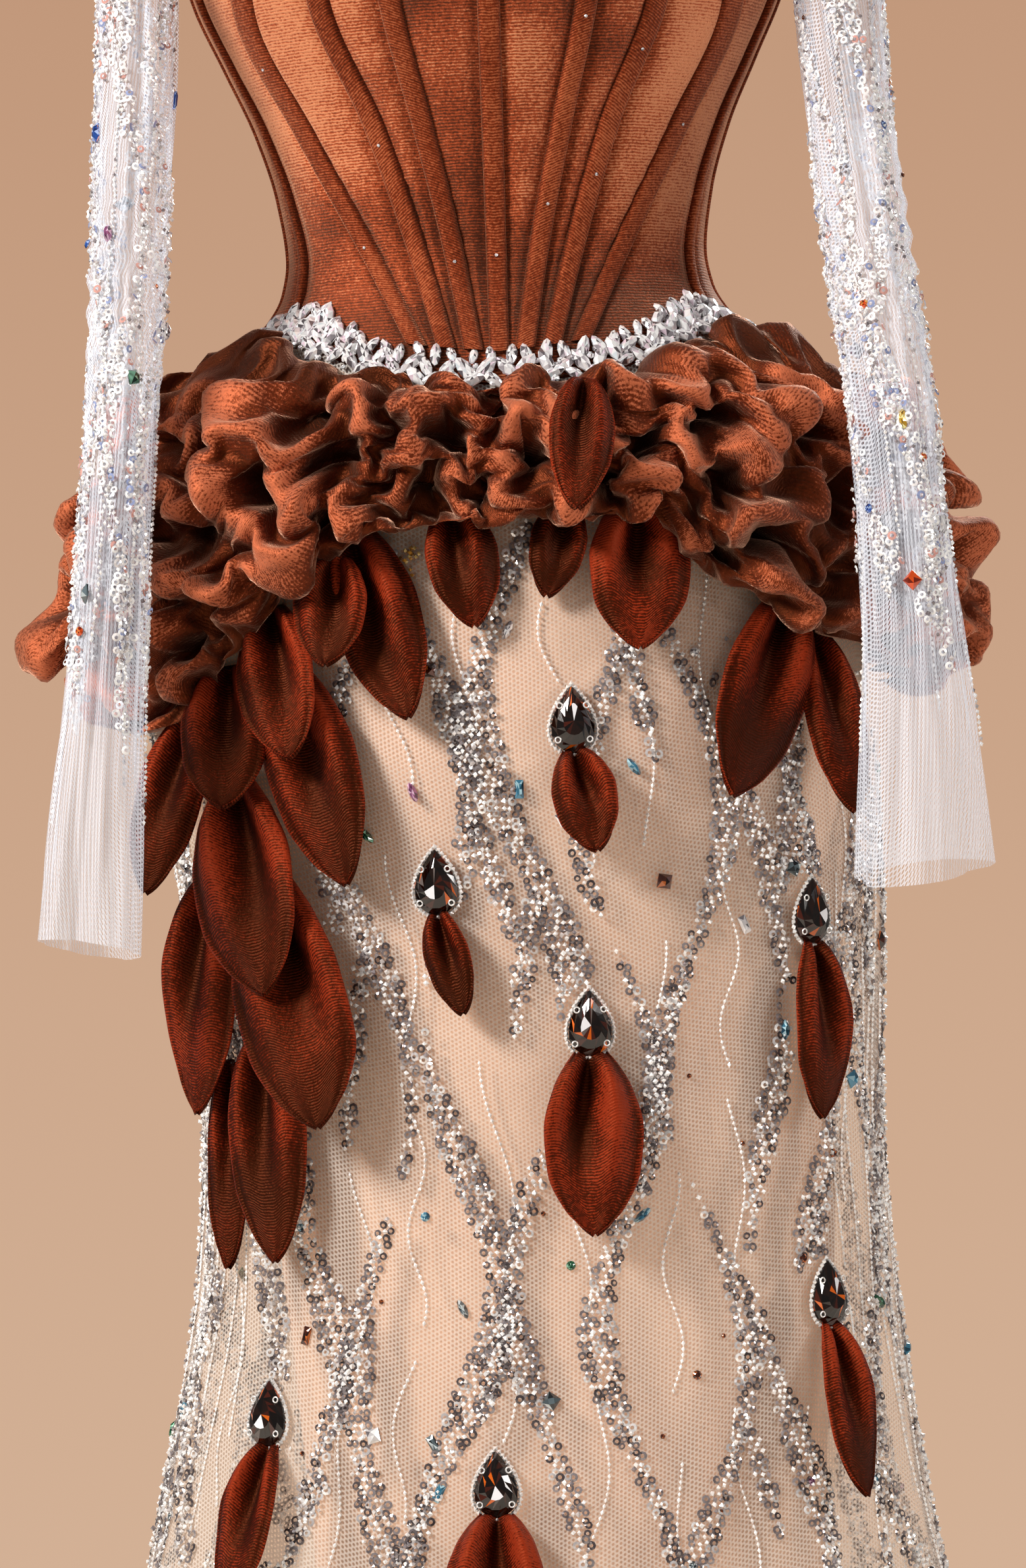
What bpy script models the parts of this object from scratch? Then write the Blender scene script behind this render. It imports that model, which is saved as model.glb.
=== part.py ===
"""A mermaid evening dress, worn shape with no wearer.

A boned rust velvet corset, a gathered velvet peplum with a crystal trim above it, a beaded net skirt over a
nude lining, velvet leaves, teardrop stones, and net sleeves on a sheer yoke.

Metres, +Z up. The front faces -Y, and +X is on the right of someone who looks at the front. The origin is the
centre of the waist, where the wearer's waist carries the dress. Angles round the body start at the centre
front and grow towards +X.
"""

import math

import bpy
import numpy as np

# Cloth and gaps

VELVET_WALL = 0.0020
NET_WALL = 0.0010
LEAF_WALL = 0.0020
SEAM_GAP = 0.0004
HEM_SEAM_GAP = 0.0021
REST_GAP = 0.0004

# The body of the dress: height, half width, depth to the front, depth to the back

BODY = (
    (-1.060, 0.392, 0.300, 0.322),
    (-0.950, 0.322, 0.232, 0.250),
    (-0.850, 0.270, 0.182, 0.196),
    (-0.760, 0.231, 0.147, 0.157),
    (-0.677, 0.205, 0.124, 0.130),
    (-0.600, 0.190, 0.113, 0.117),
    (-0.520, 0.178, 0.107, 0.108),
    (-0.445, 0.174, 0.108, 0.108),
    (-0.380, 0.177, 0.112, 0.113),
    (-0.310, 0.181, 0.118, 0.123),
    (-0.260, 0.184, 0.121, 0.131),
    (-0.200, 0.185, 0.121, 0.137),
    (-0.150, 0.182, 0.118, 0.135),
    (-0.110, 0.177, 0.114, 0.129),
    (-0.078, 0.168, 0.108, 0.118),
    (-0.058, 0.147, 0.098, 0.104),
    (-0.044, 0.131, 0.091, 0.094),
    (-0.031, 0.116, 0.085, 0.086),
    (-0.017, 0.108, 0.080, 0.078),
    (0.000, 0.105, 0.078, 0.074),
    (0.031, 0.109, 0.082, 0.077),
    (0.065, 0.119, 0.090, 0.084),
    (0.099, 0.134, 0.102, 0.091),
    (0.133, 0.149, 0.114, 0.096),
    (0.160, 0.156, 0.122, 0.099),
    (0.190, 0.159, 0.126, 0.099),
    (0.240, 0.158, 0.120, 0.096),
)
CUP_ANGLE, CUP_HEIGHT = 27.0, 0.188
CUP_SPREAD, CUP_REACH, CUP_OUT = 15.0, 0.038, 0.014

# How far the skirt hangs to the right at these heights

SWAY = ((-1.060, 0.0), (-0.820, 0.001), (-0.677, 0.003), (-0.480, 0.010), (-0.353, 0.009), (-0.240, 0.0))

# Corset edges: angle from the centre front, height

CORSET_HEM = (
    (0, -0.072), (20, -0.066), (38, -0.052), (55, -0.042), (70, -0.046),
    (82, -0.058), (90, -0.070), (120, -0.076), (180, -0.072),
)
CORSET_TOP, CUP_RISE = 0.218, 0.018
TRIM_HEIGHT = 0.0155
CORSET_ROWS = 11

# Boning channels: distance from the centre line at these heights, then the width

CHANNEL_HEIGHTS = (-0.060, 0.000, 0.060, 0.120, 0.218)
CHANNELS = (
    ("1", (0.0120, 0.0220, 0.0350, 0.0490, 0.0600)),
    ("2", (0.0245, 0.0400, 0.0590, 0.0840, 0.0980)),
    ("3", (0.0370, 0.0640, 0.0940, 0.1220, 0.1330)),
)
CHANNEL_WIDTH_FOOT, CHANNEL_WIDTH_TOP = 0.0098, 0.0125
CHANNEL_ROUNDS = 12
SIDE_CHANNEL_ANGLES = (61.0, 68.0, 75.0, 79.0, 79.0)
SIDE_CHANNEL_WIDTH = 0.0075
CHANNEL_RISE = 0.0018
SIDE_SEAM, BACK_SEAM = 90.0, 180.0
BACK_LINES = (("back_1", 107.0), ("underarm", 122.0), ("back_2", 142.0), ("back_3", 162.0))
SIDE_FACETS_BEFORE, SIDE_FACETS_AFTER = (0.4, 0.8), (0.33, 0.67)

# Peplum: angle, height of its lower edge, how far it stands off the skirt

PEPLUM = (
    (-180, -0.205, 0.036), (-120, -0.215, 0.036), (-90, -0.222, 0.027), (-62, -0.240, 0.030),
    (-42, -0.200, 0.032), (-30, -0.174, 0.032), (-18, -0.152, 0.030), (0, -0.146, 0.029),
    (20, -0.146, 0.031), (29, -0.172, 0.033), (43, -0.196, 0.036), (60, -0.214, 0.038),
    (90, -0.230, 0.042), (120, -0.218, 0.042), (180, -0.205, 0.036),
)
PEPLUM_ROWS, PEPLUM_SPLIT, PEPLUM_DROP = 5, 48.0, 0.0040
PEPLUM_SPANS = (
    ("peplum_left", -179.8, -PEPLUM_SPLIT, 44),
    ("peplum_front", -PEPLUM_SPLIT, PEPLUM_SPLIT, 40),
    ("peplum_right", PEPLUM_SPLIT, 179.8, 44),
)
PEPLUM_LIFT, PEPLUM_SETTLE, PEPLUM_RADIUS = 0.0032, 0.010, 0.2
BILLOW_PLACE, BILLOW_ROUND = 0.72, 0.8

# Peplum gathers: how many round the body, how far each slants down its length, its start, its share of the
# depth. Slants and starts are in radians. Then two slow waves that crowd and spread the gathers.

FOLD_DEPTH = 0.0090
GATHERS = ((30, 2.9, 0.0, 1.0), (18, -7.0, 1.3, 0.5), (11, 4.0, 0.4, 0.45))
CROWDING = ((3, 1.0, 0.75), (5, 2.2, 0.50))

# Skirt

SKIRT_HEM = -1.060
SKIRT_HEIGHTS = (
    -0.086, -0.110, -0.150, -0.200, -0.260, -0.330, -0.400, -0.470, -0.540, -0.610, -0.680, -0.750, -0.820,
    -0.900, -0.980, -1.060,
)
SKIRT_COLUMNS = 20
FLARE_WAVES, FLARE_WAVE_DEPTH, FLARE_START = 10, 0.024, -0.62

# Lining: height, half width, depth to the front, depth to the back, sideways shift. Above the first of these
# heights it lies inside the net, closest where the hips are fullest.

LINING_OVALS = (
    (-0.820, 0.128, 0.090, 0.094, 0.014),
    (-0.680, 0.131, 0.098, 0.098, 0.016),
    (-0.540, 0.140, 0.098, 0.099, 0.016),
    (-0.400, 0.152, 0.105, 0.104, 0.012),
    (-0.330, 0.162, 0.111, 0.114, 0.008),
)
LINING_TOP_DROP, LINING_LOOSE, LINING_ROWS = 0.004, 0.0035, 12
LINING_SNUG, LINING_LOOSE_FROM = -0.160, -0.120
LINING_FREE_FROM, LINING_FREE_BY = -0.260, -0.330

# Yoke: the shoulder point, the neck point, and the neckline's centre, front and back

SHOULDER = (0.182, 0.004, 0.388)
NECK = (0.074, 0.014, 0.412)
NECKLINE_FRONT = (0.0, -0.064, 0.336)
NECKLINE_BACK = (0.0, 0.066, 0.396)
YOKE_BOW_FRONT = (-0.014, -0.026, 0.0)
YOKE_BOW_BACK = (-0.010, 0.026, 0.004)
YOKE_ROWS = 4
SHOULDER_COLUMNS = 4
SHOULDER_SAG = 0.002

# Which of the back panel's lines the armhole ends on, counted from the side seam

UNDERARM = 3

# Sleeves: height, distance from the centre, place front to back, half width, half depth

SLEEVE_LEFT = (
    (0.190, 0.187, -0.010, 0.022, 0.056),
    (0.139, 0.179, -0.028, 0.020, 0.048),
    (0.060, 0.181, -0.056, 0.019, 0.040),
    (-0.030, 0.185, -0.098, 0.018, 0.032),
    (-0.106, 0.189, -0.126, 0.017, 0.026),
    (-0.180, 0.195, -0.134, 0.018, 0.025),
    (-0.260, 0.203, -0.134, 0.021, 0.025),
    (-0.347, 0.210, -0.128, 0.025, 0.026),
)
SLEEVE_RIGHT = (
    (0.190, 0.187, -0.010, 0.022, 0.056),
    (0.139, 0.178, -0.028, 0.022, 0.048),
    (0.060, 0.181, -0.056, 0.021, 0.040),
    (-0.030, 0.187, -0.098, 0.021, 0.033),
    (-0.106, 0.193, -0.126, 0.021, 0.028),
    (-0.180, 0.197, -0.134, 0.023, 0.028),
    (-0.250, 0.199, -0.134, 0.028, 0.028),
    (-0.322, 0.199, -0.130, 0.033, 0.030),
)
SLEEVE_ROWS_BELOW = 10
SLEEVE_ROWS_CAP = 4
SLEEVE_SIDES_UNDERARM = 6
SLEEVE_CAP_RISE = 0.008

# Leaves: base x and z, length, width, lean in degrees, base lift, tip rise, turn to the front

LEAVES = (
    ("leaf_left_a", -0.082, -0.175, 0.040, 0.036, -2, 0.0094, 0.014, 0.3),
    ("leaf_left_b", -0.070, -0.160, 0.084, 0.041, 17, 0.0008, 0.008, 0.3),
    ("leaf_left_c", -0.113, -0.198, 0.066, 0.040, 14, 0.0008, 0.026, 0.3),
    ("leaf_left_d", -0.137, -0.226, 0.060, 0.043, 6, 0.0008, 0.030, 0.4),
    ("leaf_left_e", -0.104, -0.228, 0.096, 0.046, 16, 0.0008, 0.012, 0.3),
    ("leaf_left_f", -0.160, -0.246, 0.080, 0.033, -16, 0.0008, 0.018, 0.5),
    ("leaf_left_g", -0.134, -0.284, 0.094, 0.056, 13, 0.0008, 0.034, 0.4),
    ("leaf_left_h", -0.153, -0.330, 0.104, 0.041, -6, 0.0008, 0.014, 0.4),
    ("leaf_left_i", -0.116, -0.334, 0.111, 0.058, 15, 0.0008, 0.034, 0.3),
    ("leaf_left_j", -0.146, -0.424, 0.088, 0.022, -1, 0.0008, 0.010, 0.4),
    ("leaf_left_k", -0.125, -0.408, 0.100, 0.040, 5, 0.0008, 0.022, 0.3),
    ("leaf_centre_a", -0.022, -0.150, 0.046, 0.033, 9, 0.0008, 0.008, 0.0),
    ("leaf_centre_b", 0.026, -0.150, 0.032, 0.026, -14, 0.0008, 0.005, 0.0),
    ("leaf_centre_c", 0.064, -0.150, 0.060, 0.047, -4, 0.0008, 0.012, 0.2),
    ("leaf_centre_d", 0.034, -0.092, 0.056, 0.030, -8, 0.0355, 0.006, 0.1),
    ("leaf_right_a", 0.132, -0.200, 0.092, 0.048, -24, 0.0008, 0.012, 0.3),
    ("leaf_right_b", 0.152, -0.216, 0.080, 0.030, 4, 0.0008, 0.028, 0.4),
)
LEAF_ROWS, LEAF_COLUMNS = 4, 4
LEAF_OUTLINE_ALONG = (0.0, 0.14, 0.40, 0.66, 0.86, 1.0)
LEAF_OUTLINE_HALF = (0.36, 0.78, 1.00, 0.80, 0.40, 0.03)
LEAF_CUP, LEAF_FOLD, LEAF_BOW = 0.0030, 0.0022, 0.0030

# Teardrop stones with a leaf below: x, z of the stone, then length, width, lean and tip rise of its leaf

STONES = (
    (0.030, -0.241, 0.049, 0.032, 10, 0.010),
    (-0.039, -0.319, 0.049, 0.024, 14, 0.009),
    (0.034, -0.391, 0.087, 0.050, -1, 0.014),
    (0.146, -0.340, 0.086, 0.034, -2, 0.014),
    (0.149, -0.533, 0.086, 0.032, -2, 0.020),
    (-0.131, -0.584, 0.084, 0.035, -4, 0.022),
    (-0.019, -0.618, 0.084, 0.050, -1, 0.024),
)
STONE_WIDTH, STONE_LENGTH, STONE_HEIGHT = 0.0215, 0.0325, 0.0085
STONE_SIDES, STONE_LIFT, STONE_BELT = 12, 0.0009, 1.06

# A stone's rings: size against its outline, height against the stone's

STONE_RINGS = ((1.0, 0.0), (STONE_BELT, 0.35), (0.62, 1.0))

# Crystal trim

TRIM_LIFT, TRIM_BASE, TRIM_PEAK = 0.0009, 0.0022, 0.0052

# Finishes: sRGB colour, roughness, metallic

FINISHES = {
    "velvet": ((0.46, 0.22, 0.14), 0.85, 0.0),
    "velvet_strip": ((0.42, 0.20, 0.13), 0.85, 0.0),
    "velvet_leaf": ((0.38, 0.16, 0.09), 0.85, 0.0),
    "net": ((0.87, 0.83, 0.80), 0.60, 0.0),
    "sleeve_net": ((0.90, 0.89, 0.90), 0.60, 0.0),
    "nude_lining": ((0.80, 0.65, 0.55), 0.70, 0.0),
    "crystal": ((0.92, 0.92, 0.94), 0.10, 0.0),
    "brown_glass": ((0.22, 0.08, 0.04), 0.08, 0.0),
}


# Helpers


def smooth(at, known_at, known):
    """Curve through known points with no overshoot: cubic pieces whose slopes are harmonic means."""
    at = np.asarray(at, float)
    known_at = np.asarray(known_at, float)
    known = np.asarray(known, float)
    steps = np.diff(known_at)
    rises = np.diff(known) / steps
    slopes = np.zeros_like(known)
    slopes[0], slopes[-1] = rises[0], rises[-1]
    same_way = rises[1:] * rises[:-1] > 0
    before, after = rises[:-1][same_way], rises[1:][same_way]
    slopes[1:-1][same_way] = 2 * before * after / (before + after)
    i = np.clip(np.searchsorted(known_at, at) - 1, 0, len(steps) - 1)
    t = np.clip((at - known_at[i]) / steps[i], 0, 1)
    start = (1 + 2 * t) * (1 - t) ** 2 * known[i]
    end = t * t * (3 - 2 * t) * known[i + 1]
    bend = t * (1 - t) ** 2 * steps[i] * slopes[i] - t * t * (1 - t) * steps[i] * slopes[i + 1]
    return start + end + bend


def column(table, index):
    return [row[index] for row in table]


def linear(channel):
    """One sRGB channel as linear light."""
    return channel / 12.92 if channel <= 0.04045 else ((channel + 0.055) / 1.055) ** 2.4


def finish(name):
    """The material of one finish, made once."""
    material = bpy.data.materials.get(name)
    if material:
        return material
    colour, roughness, metallic = FINISHES[name]
    material = bpy.data.materials.new(name)
    material.use_nodes = True
    shader = material.node_tree.nodes["Principled BSDF"]
    shader.inputs["Base Color"].default_value = (*map(linear, colour), 1)
    shader.inputs["Roughness"].default_value = roughness
    shader.inputs["Metallic"].default_value = metallic
    material.diffuse_color = (*colour, 1)
    return material


def solid(name, points, faces, material):
    """A named mesh object with its faces turned outwards."""
    mesh = bpy.data.meshes.new(name)
    mesh.from_pydata(np.asarray(points).reshape(-1, 3).tolist(), [], faces)
    mesh.materials.append(finish(material))
    piece = bpy.data.objects.new(name, mesh)
    bpy.context.scene.collection.objects.link(piece)
    volume = 0.0
    mesh.calc_loop_triangles()
    for triangle in mesh.loop_triangles:
        a, b, c = (mesh.vertices[i].co for i in triangle.vertices)
        volume += a.dot(b.cross(c))
    if volume < 0:
        mesh.flip_normals()
    mesh.shade_smooth()
    mesh.set_sharp_from_angle(angle=math.radians(50))
    return piece


def wall(name, outer, inner, material, ring=False):
    """Closed wall between two grids of points, rows by columns. A ring joins its last column to its first."""
    rows, columns = outer.shape[:2]
    inside = rows * columns
    faces = []
    for r in range(rows - 1):
        for c in range(columns if ring else columns - 1):
            d = (c + 1) % columns
            a, b = r * columns + c, r * columns + d
            low_a, low_b = a + columns, b + columns
            faces.append((a, b, low_b, low_a))
            faces.append((inside + a, inside + low_a, inside + low_b, inside + b))
    edge = [(0, c) for c in range(columns)]
    last = [(rows - 1, c) for c in range(columns)]
    if ring:
        loops = [edge + edge[:1], last[::-1] + last[-1:]]
    else:
        right = [(r, columns - 1) for r in range(rows)]
        left = [(r, 0) for r in range(rows)]
        loops = [edge + right[1:] + last[::-1][1:] + left[::-1][1:]]
    for loop in loops:
        for (r0, c0), (r1, c1) in zip(loop, loop[1:]):
            a, b = r0 * columns + c0, r1 * columns + c1
            faces.append((b, a, inside + a, inside + b))
    return solid(name, np.concatenate([outer.reshape(-1, 3), inner.reshape(-1, 3)]), faces, material)


def grid_normals(points, ring=False):
    """Unit normals of a grid of points, from the differences along its rows and its columns."""
    if ring:
        wrapped = np.concatenate([points[:, -1:], points, points[:, :1]], axis=1)
        across = np.gradient(wrapped, axis=1)[:, 1:-1]
    else:
        across = np.gradient(points, axis=1)
    along = np.gradient(points, axis=0)
    normals = np.cross(across, along)
    return normals / np.linalg.norm(normals, axis=-1, keepdims=True)


def on_facets(grid, row, place):
    """Points of a faceted grid at fractional rows and columns."""
    row = np.clip(np.asarray(row, float), 0, grid.shape[0] - 1 - 1e-9)
    place = np.clip(np.asarray(place, float), 0, grid.shape[1] - 1 - 1e-9)
    r, c = row.astype(int), place.astype(int)
    fr, fc = (row - r)[..., None], (place - c)[..., None]
    low = grid[r, c] * (1 - fc) + grid[r, c + 1] * fc
    high = grid[r + 1, c] * (1 - fc) + grid[r + 1, c + 1] * fc
    return low * (1 - fr) + high * fr


# The body's surface


def hem_line(angle):
    """Height of the corset's lower edge at an angle."""
    return smooth(np.abs(angle), column(CORSET_HEM, 0), column(CORSET_HEM, 1))


def top_line(angle):
    """Height of the corset's upper edge: level, and risen over each cup."""
    return CORSET_TOP + CUP_RISE * np.exp(-(((np.abs(angle) - CUP_ANGLE) / CUP_SPREAD) ** 2))


def body(angle, z, out=0.0):
    """Point on the dress at an angle and a height, moved out level by out: an oval, with two cups."""
    angle, z = np.broadcast_arrays(np.asarray(angle, float), np.asarray(z, float))
    heights = column(BODY, 0)
    half = smooth(z, heights, column(BODY, 1))
    front = smooth(z, heights, column(BODY, 2))
    back = smooth(z, heights, column(BODY, 3))
    turn = np.radians(angle)
    depth = np.where(np.cos(turn) > 0, front, back)
    cup = CUP_OUT * np.exp(-(((np.abs(angle) - CUP_ANGLE) / CUP_SPREAD) ** 2))
    cup = cup * np.exp(-(((z - CUP_HEIGHT) / CUP_REACH) ** 2))
    wave = np.clip((FLARE_START - z) / (FLARE_START - SKIRT_HEM), 0, 1) ** 1.5
    wave = FLARE_WAVE_DEPTH * wave * np.sin(np.radians(angle * FLARE_WAVES) + 0.9)
    out = out + cup + wave
    x = sway(z) + (half + out) * np.sin(turn)
    y = -(depth + out) * np.cos(turn)
    return np.stack([x, y, z], axis=-1)


def sway(z):
    return smooth(z, column(SWAY, 0), column(SWAY, 1))


def half_width(z):
    return smooth(z, column(BODY, 0), column(BODY, 1))


# Corset: lines that run from its hem to its top, on the same rows


def corset_rows():
    """How far up the corset each row lies. The second row is the top of the crystal trim."""
    first = TRIM_HEIGHT / (CORSET_TOP - CORSET_HEM[0][1])
    return np.concatenate([[0.0], np.linspace(first, 1.0, CORSET_ROWS)])


def corset_heights(angle, rows):
    """Heights of the rows at an angle: the trim's stretch is level with the hem, the rest is shared out."""
    low, high = hem_line(angle) + TRIM_HEIGHT, top_line(angle)
    share = np.clip((rows - rows[1]) / (1 - rows[1]), 0, 1)
    return np.where(rows < rows[1], hem_line(angle), low + (high - low) * share)


def channel_line(reach, shift):
    """Angles and heights of a line at a channel's distance from the centre, plus a share of its width.

    The height depends on the angle and the angle on the height, so the two are worked out in a few rounds.
    """
    rows = corset_rows()
    angle = np.zeros(rows.shape)
    for _ in range(CHANNEL_ROUNDS):
        z = corset_heights(angle, rows)
        width = CHANNEL_WIDTH_FOOT + (CHANNEL_WIDTH_TOP - CHANNEL_WIDTH_FOOT) * rows
        x = smooth(z, CHANNEL_HEIGHTS, reach) + shift * width
        angle = np.degrees(np.arcsin(np.clip(x / half_width(z), -0.999, 0.999)))
    return angle, corset_heights(angle, rows)


def angle_line(angle, shift=0.0):
    """Angles and heights of a line at one angle, moved round by a width."""
    rows = corset_rows()
    z = corset_heights(np.full(rows.shape, float(angle)), rows)
    return angle + np.degrees(shift / half_width(z)), z


def side_channel_line(shift):
    """The channel in front of the side seam, whose angle changes with the height."""
    rows = corset_rows()
    foot = hem_line(SIDE_CHANNEL_ANGLES[0])
    heights = foot + (CORSET_TOP - foot) * rows
    angle = smooth(heights, CHANNEL_HEIGHTS, SIDE_CHANNEL_ANGLES)
    angle = angle + np.degrees(shift / half_width(heights))
    return angle, corset_heights(angle, rows)


def between(a, b, share):
    """A line part of the way between two others."""
    rows = corset_rows()
    angle = a[0] * (1 - share) + b[0] * share
    return angle, corset_heights(angle, rows)


def panel_grid(lines, out, gap_first=0.0, gap_last=0.0):
    """Grid of points on lines, moved out, with a seam gap at its first and last line."""
    columns = []
    for i, (angle, z) in enumerate(lines):
        gap = gap_first if i == 0 else -gap_last if i == len(lines) - 1 else 0.0
        columns.append(body(angle + np.degrees(gap / half_width(z)), z, out))
    return np.stack(columns, axis=1)


def right_side_lines():
    """The corset's lines on the right, from the centre channel round to the centre back."""
    edge = (0.0,) * len(CHANNEL_HEIGHTS)
    lines = {"centre_edge": channel_line(edge, 0.5)}
    for name, reach in CHANNELS:
        for part, shift in (("in", -0.5), ("mid", 0.0), ("out", 0.5)):
            lines[f"{name}_{part}"] = channel_line(reach, shift)
    half = SIDE_CHANNEL_WIDTH / 2
    lines["4_in"] = side_channel_line(-half)
    lines["4_out"] = side_channel_line(half)
    lines["5_in"] = angle_line(SIDE_SEAM, -half)
    lines["side"] = angle_line(SIDE_SEAM)
    lines["5_out"] = angle_line(SIDE_SEAM, half)
    for name, angle in BACK_LINES:
        lines[name] = angle_line(angle)
    lines["back_in"] = angle_line(BACK_SEAM, -CHANNEL_WIDTH_FOOT / 2)
    lines["back"] = angle_line(BACK_SEAM)
    return lines


def build_corset():
    """Front, side and back panels, then the channels on them. Returns the lines of each panel."""
    right = right_side_lines()
    front_right = [right["centre_edge"]]
    for name, _ in CHANNELS:
        front_right.append(between(front_right[-1], right[f"{name}_in"], 0.5))
        front_right.append(right[f"{name}_in"])
        front_right.append(right[f"{name}_out"] if name != "3" else right["3_mid"])
    front = left_of(front_right) + front_right
    side = [right["3_mid"], right["3_out"]]
    side += [between(right["3_out"], right["4_in"], share) for share in SIDE_FACETS_BEFORE]
    side += [right["4_in"], right["4_out"]]
    side += [between(right["4_out"], right["5_in"], share) for share in SIDE_FACETS_AFTER]
    side += [right["5_in"], right["side"]]
    back_names = ["side", "5_out"] + [name for name, _ in BACK_LINES] + ["back_in", "back"]
    back = [right[name] for name in back_names]
    make_panel("bodice_front", front)
    for hand, turn in (("right", list), ("left", left_of)):
        make_panel(f"bodice_side_{hand}", turn(side))
        make_panel(f"bodice_back_{hand}", turn(back))
        for name in ("1", "2", "4"):
            make_channel(f"channel_{hand}_{name}", turn([right[f"{name}_in"], right[f"{name}_out"]]))
        make_channel(f"channel_{hand}_3", turn([right["3_in"], right["3_mid"], right["3_out"]]))
        make_channel(f"channel_{hand}_5", turn([right["5_in"], right["side"], right["5_out"]]))
    make_channel("channel_centre", left_of([right["centre_edge"]]) + [right["centre_edge"]])
    make_channel("channel_back", [right["back_in"], right["back"], round_the_back(right["back_in"])])
    return front, side, back


def sewn_hem(front, side, back):
    """Angles and heights of the corset's faceted lower edge, from the centre front to the centre back."""
    lines = front[len(front) // 2:] + side[1:] + back[1:]
    return np.array([(angle[0], z[0]) for angle, z in lines]).T


def below_hem(angle, hem, drop):
    """Height of a line that runs below the corset's lower edge, on its left and its right."""
    turned = np.abs((np.asarray(angle, float) + 180) % 360 - 180)
    return np.interp(turned, hem[0], hem[1]) - drop


def left_of(lines):
    """The same lines on the left, in order of growing angle."""
    return [(-angle, z) for angle, z in reversed(lines)]


def round_the_back(line):
    """The same line past the centre back."""
    return 360 - line[0], line[1]


def make_panel(name, lines):
    """One velvet panel between its first and last line."""
    outer = panel_grid(lines, 0.0, SEAM_GAP / 2, SEAM_GAP / 2)
    inner = panel_grid(lines, -VELVET_WALL, SEAM_GAP / 2, SEAM_GAP / 2)
    wall(name, outer, inner, "velvet")


def make_channel(name, lines):
    """A strip on the panel's own points, from the trim's top to the corset's upper edge."""
    inner = panel_grid(lines, REST_GAP)[1:]
    outer = panel_grid(lines, REST_GAP + CHANNEL_RISE)[1:]
    for grid in (inner, outer):
        grid[0, :, 2] += SEAM_GAP
    wall(name, outer, inner, "velvet_strip")


# Crystal trim on the corset's lower edge


def make_trim(name, lines, splits):
    """A band of raised crystals along the lower edge: each column between two lines is split evenly."""
    low, high = panel_grid(lines, TRIM_LIFT)[:2]
    places = np.arange((len(lines) - 1) * splits + 1) / splits
    band = np.stack([low, (low + high) / 2, high])
    inner = on_facets(band, np.arange(3)[:, None] * np.ones(len(places)), places * np.ones((3, 1)))
    count = np.arange(len(places))
    peaks = np.where(count % 2 == 0, TRIM_PEAK, TRIM_BASE)
    valleys = np.where(count % 2 == 0, TRIM_BASE, TRIM_PEAK * 0.8)
    rise = np.stack([valleys * 0.8, peaks, valleys])
    away = inner * (1, 1, 0)
    away = away / np.linalg.norm(away, axis=-1, keepdims=True)
    outer = inner + away * rise[..., None]
    inner[0, :, 2] += SEAM_GAP
    outer[0, :, 2] += SEAM_GAP
    wall(name, outer, inner, "crystal")


# Skirt and lining


def skirt_grid(first, last, hem, out):
    """Points on the skirt between two angles. The top row follows the corset's hem."""
    angles = np.linspace(first, last, SKIRT_COLUMNS + 1)
    top = below_hem(angles, hem, HEM_SEAM_GAP)
    heights = np.concatenate([top[None], np.repeat(np.array(SKIRT_HEIGHTS)[:, None], len(angles), 1)])
    gap = np.zeros_like(angles)
    gap[0], gap[-1] = SEAM_GAP / 2, -SEAM_GAP / 2
    turned = angles + np.degrees(gap / half_width(heights))
    return body(turned, heights, out)


def build_skirt(hem):
    """Net front and back, with the side seams at the sides. Returns the front and back grids."""
    grids = []
    for name, first, last in (("skirt_front", -90, 90), ("skirt_back", 90, 270)):
        outer = skirt_grid(first, last, hem, 0.0)
        wall(name, outer, skirt_grid(first, last, hem, -NET_WALL), "net")
        grids.append(outer)
    return grids


def build_lining(hem):
    """A slim nude tube that hangs inside the net, from the corset's hem to below the knee."""
    angles = np.arange(-90, 270, 2 * 180.0 / SKIRT_COLUMNS)
    top = below_hem(angles, hem, HEM_SEAM_GAP + LINING_TOP_DROP)
    heights = [top] + [np.full_like(angles, z) for z in SKIRT_HEIGHTS[1:LINING_ROWS]]
    outer = np.stack([lining_ring(angles, z, 0.0) for z in heights])
    inner = np.stack([lining_ring(angles, z, NET_WALL) for z in heights])
    wall("lining", outer, inner, "nude_lining", ring=True)


def lining_ring(angles, z, inset):
    """The lining at a height: inside the net down to the full hips, then blended into a slimmer oval."""
    loose = LINING_LOOSE * np.clip((z - LINING_SNUG) / (LINING_LOOSE_FROM - LINING_SNUG), 0, 1)
    point = body(angles, z, -NET_WALL - REST_GAP - loose - inset)
    heights = column(LINING_OVALS, 0)
    half, front, back, shift = (smooth(z, heights, column(LINING_OVALS, i)) for i in (1, 2, 3, 4))
    turn = np.radians(angles)
    depth = np.where(np.cos(turn) > 0, front, back) - inset
    oval = np.stack([shift + (half - inset) * np.sin(turn), -depth * np.cos(turn), z], axis=-1)
    share = np.clip((LINING_FREE_FROM - z) / (LINING_FREE_FROM - LINING_FREE_BY), 0, 1)[..., None]
    return point * (1 - share) + oval * share


# Peplum


def peplum_lines(angle):
    """Lower edge and stand-off of the peplum at an angle."""
    angles = column(PEPLUM, 0)
    return smooth(angle, angles, column(PEPLUM, 1)), smooth(angle, angles, column(PEPLUM, 2))


def folds(angle, down):
    """Uneven gathers: the slanted waves of GATHERS added up, crowded and spread, and shallower at the top."""
    turn = np.radians(angle)
    wander = sum(share * np.sin(count * turn + start + 2 * down) for count, start, share in CROWDING)
    height = sum(
        share * np.sin(count * turn + slant * down + start + wander) for count, slant, start, share in GATHERS
    )
    return height * np.clip(down * 4, 0.12, 1) * (1 - 0.35 * down)


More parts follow.
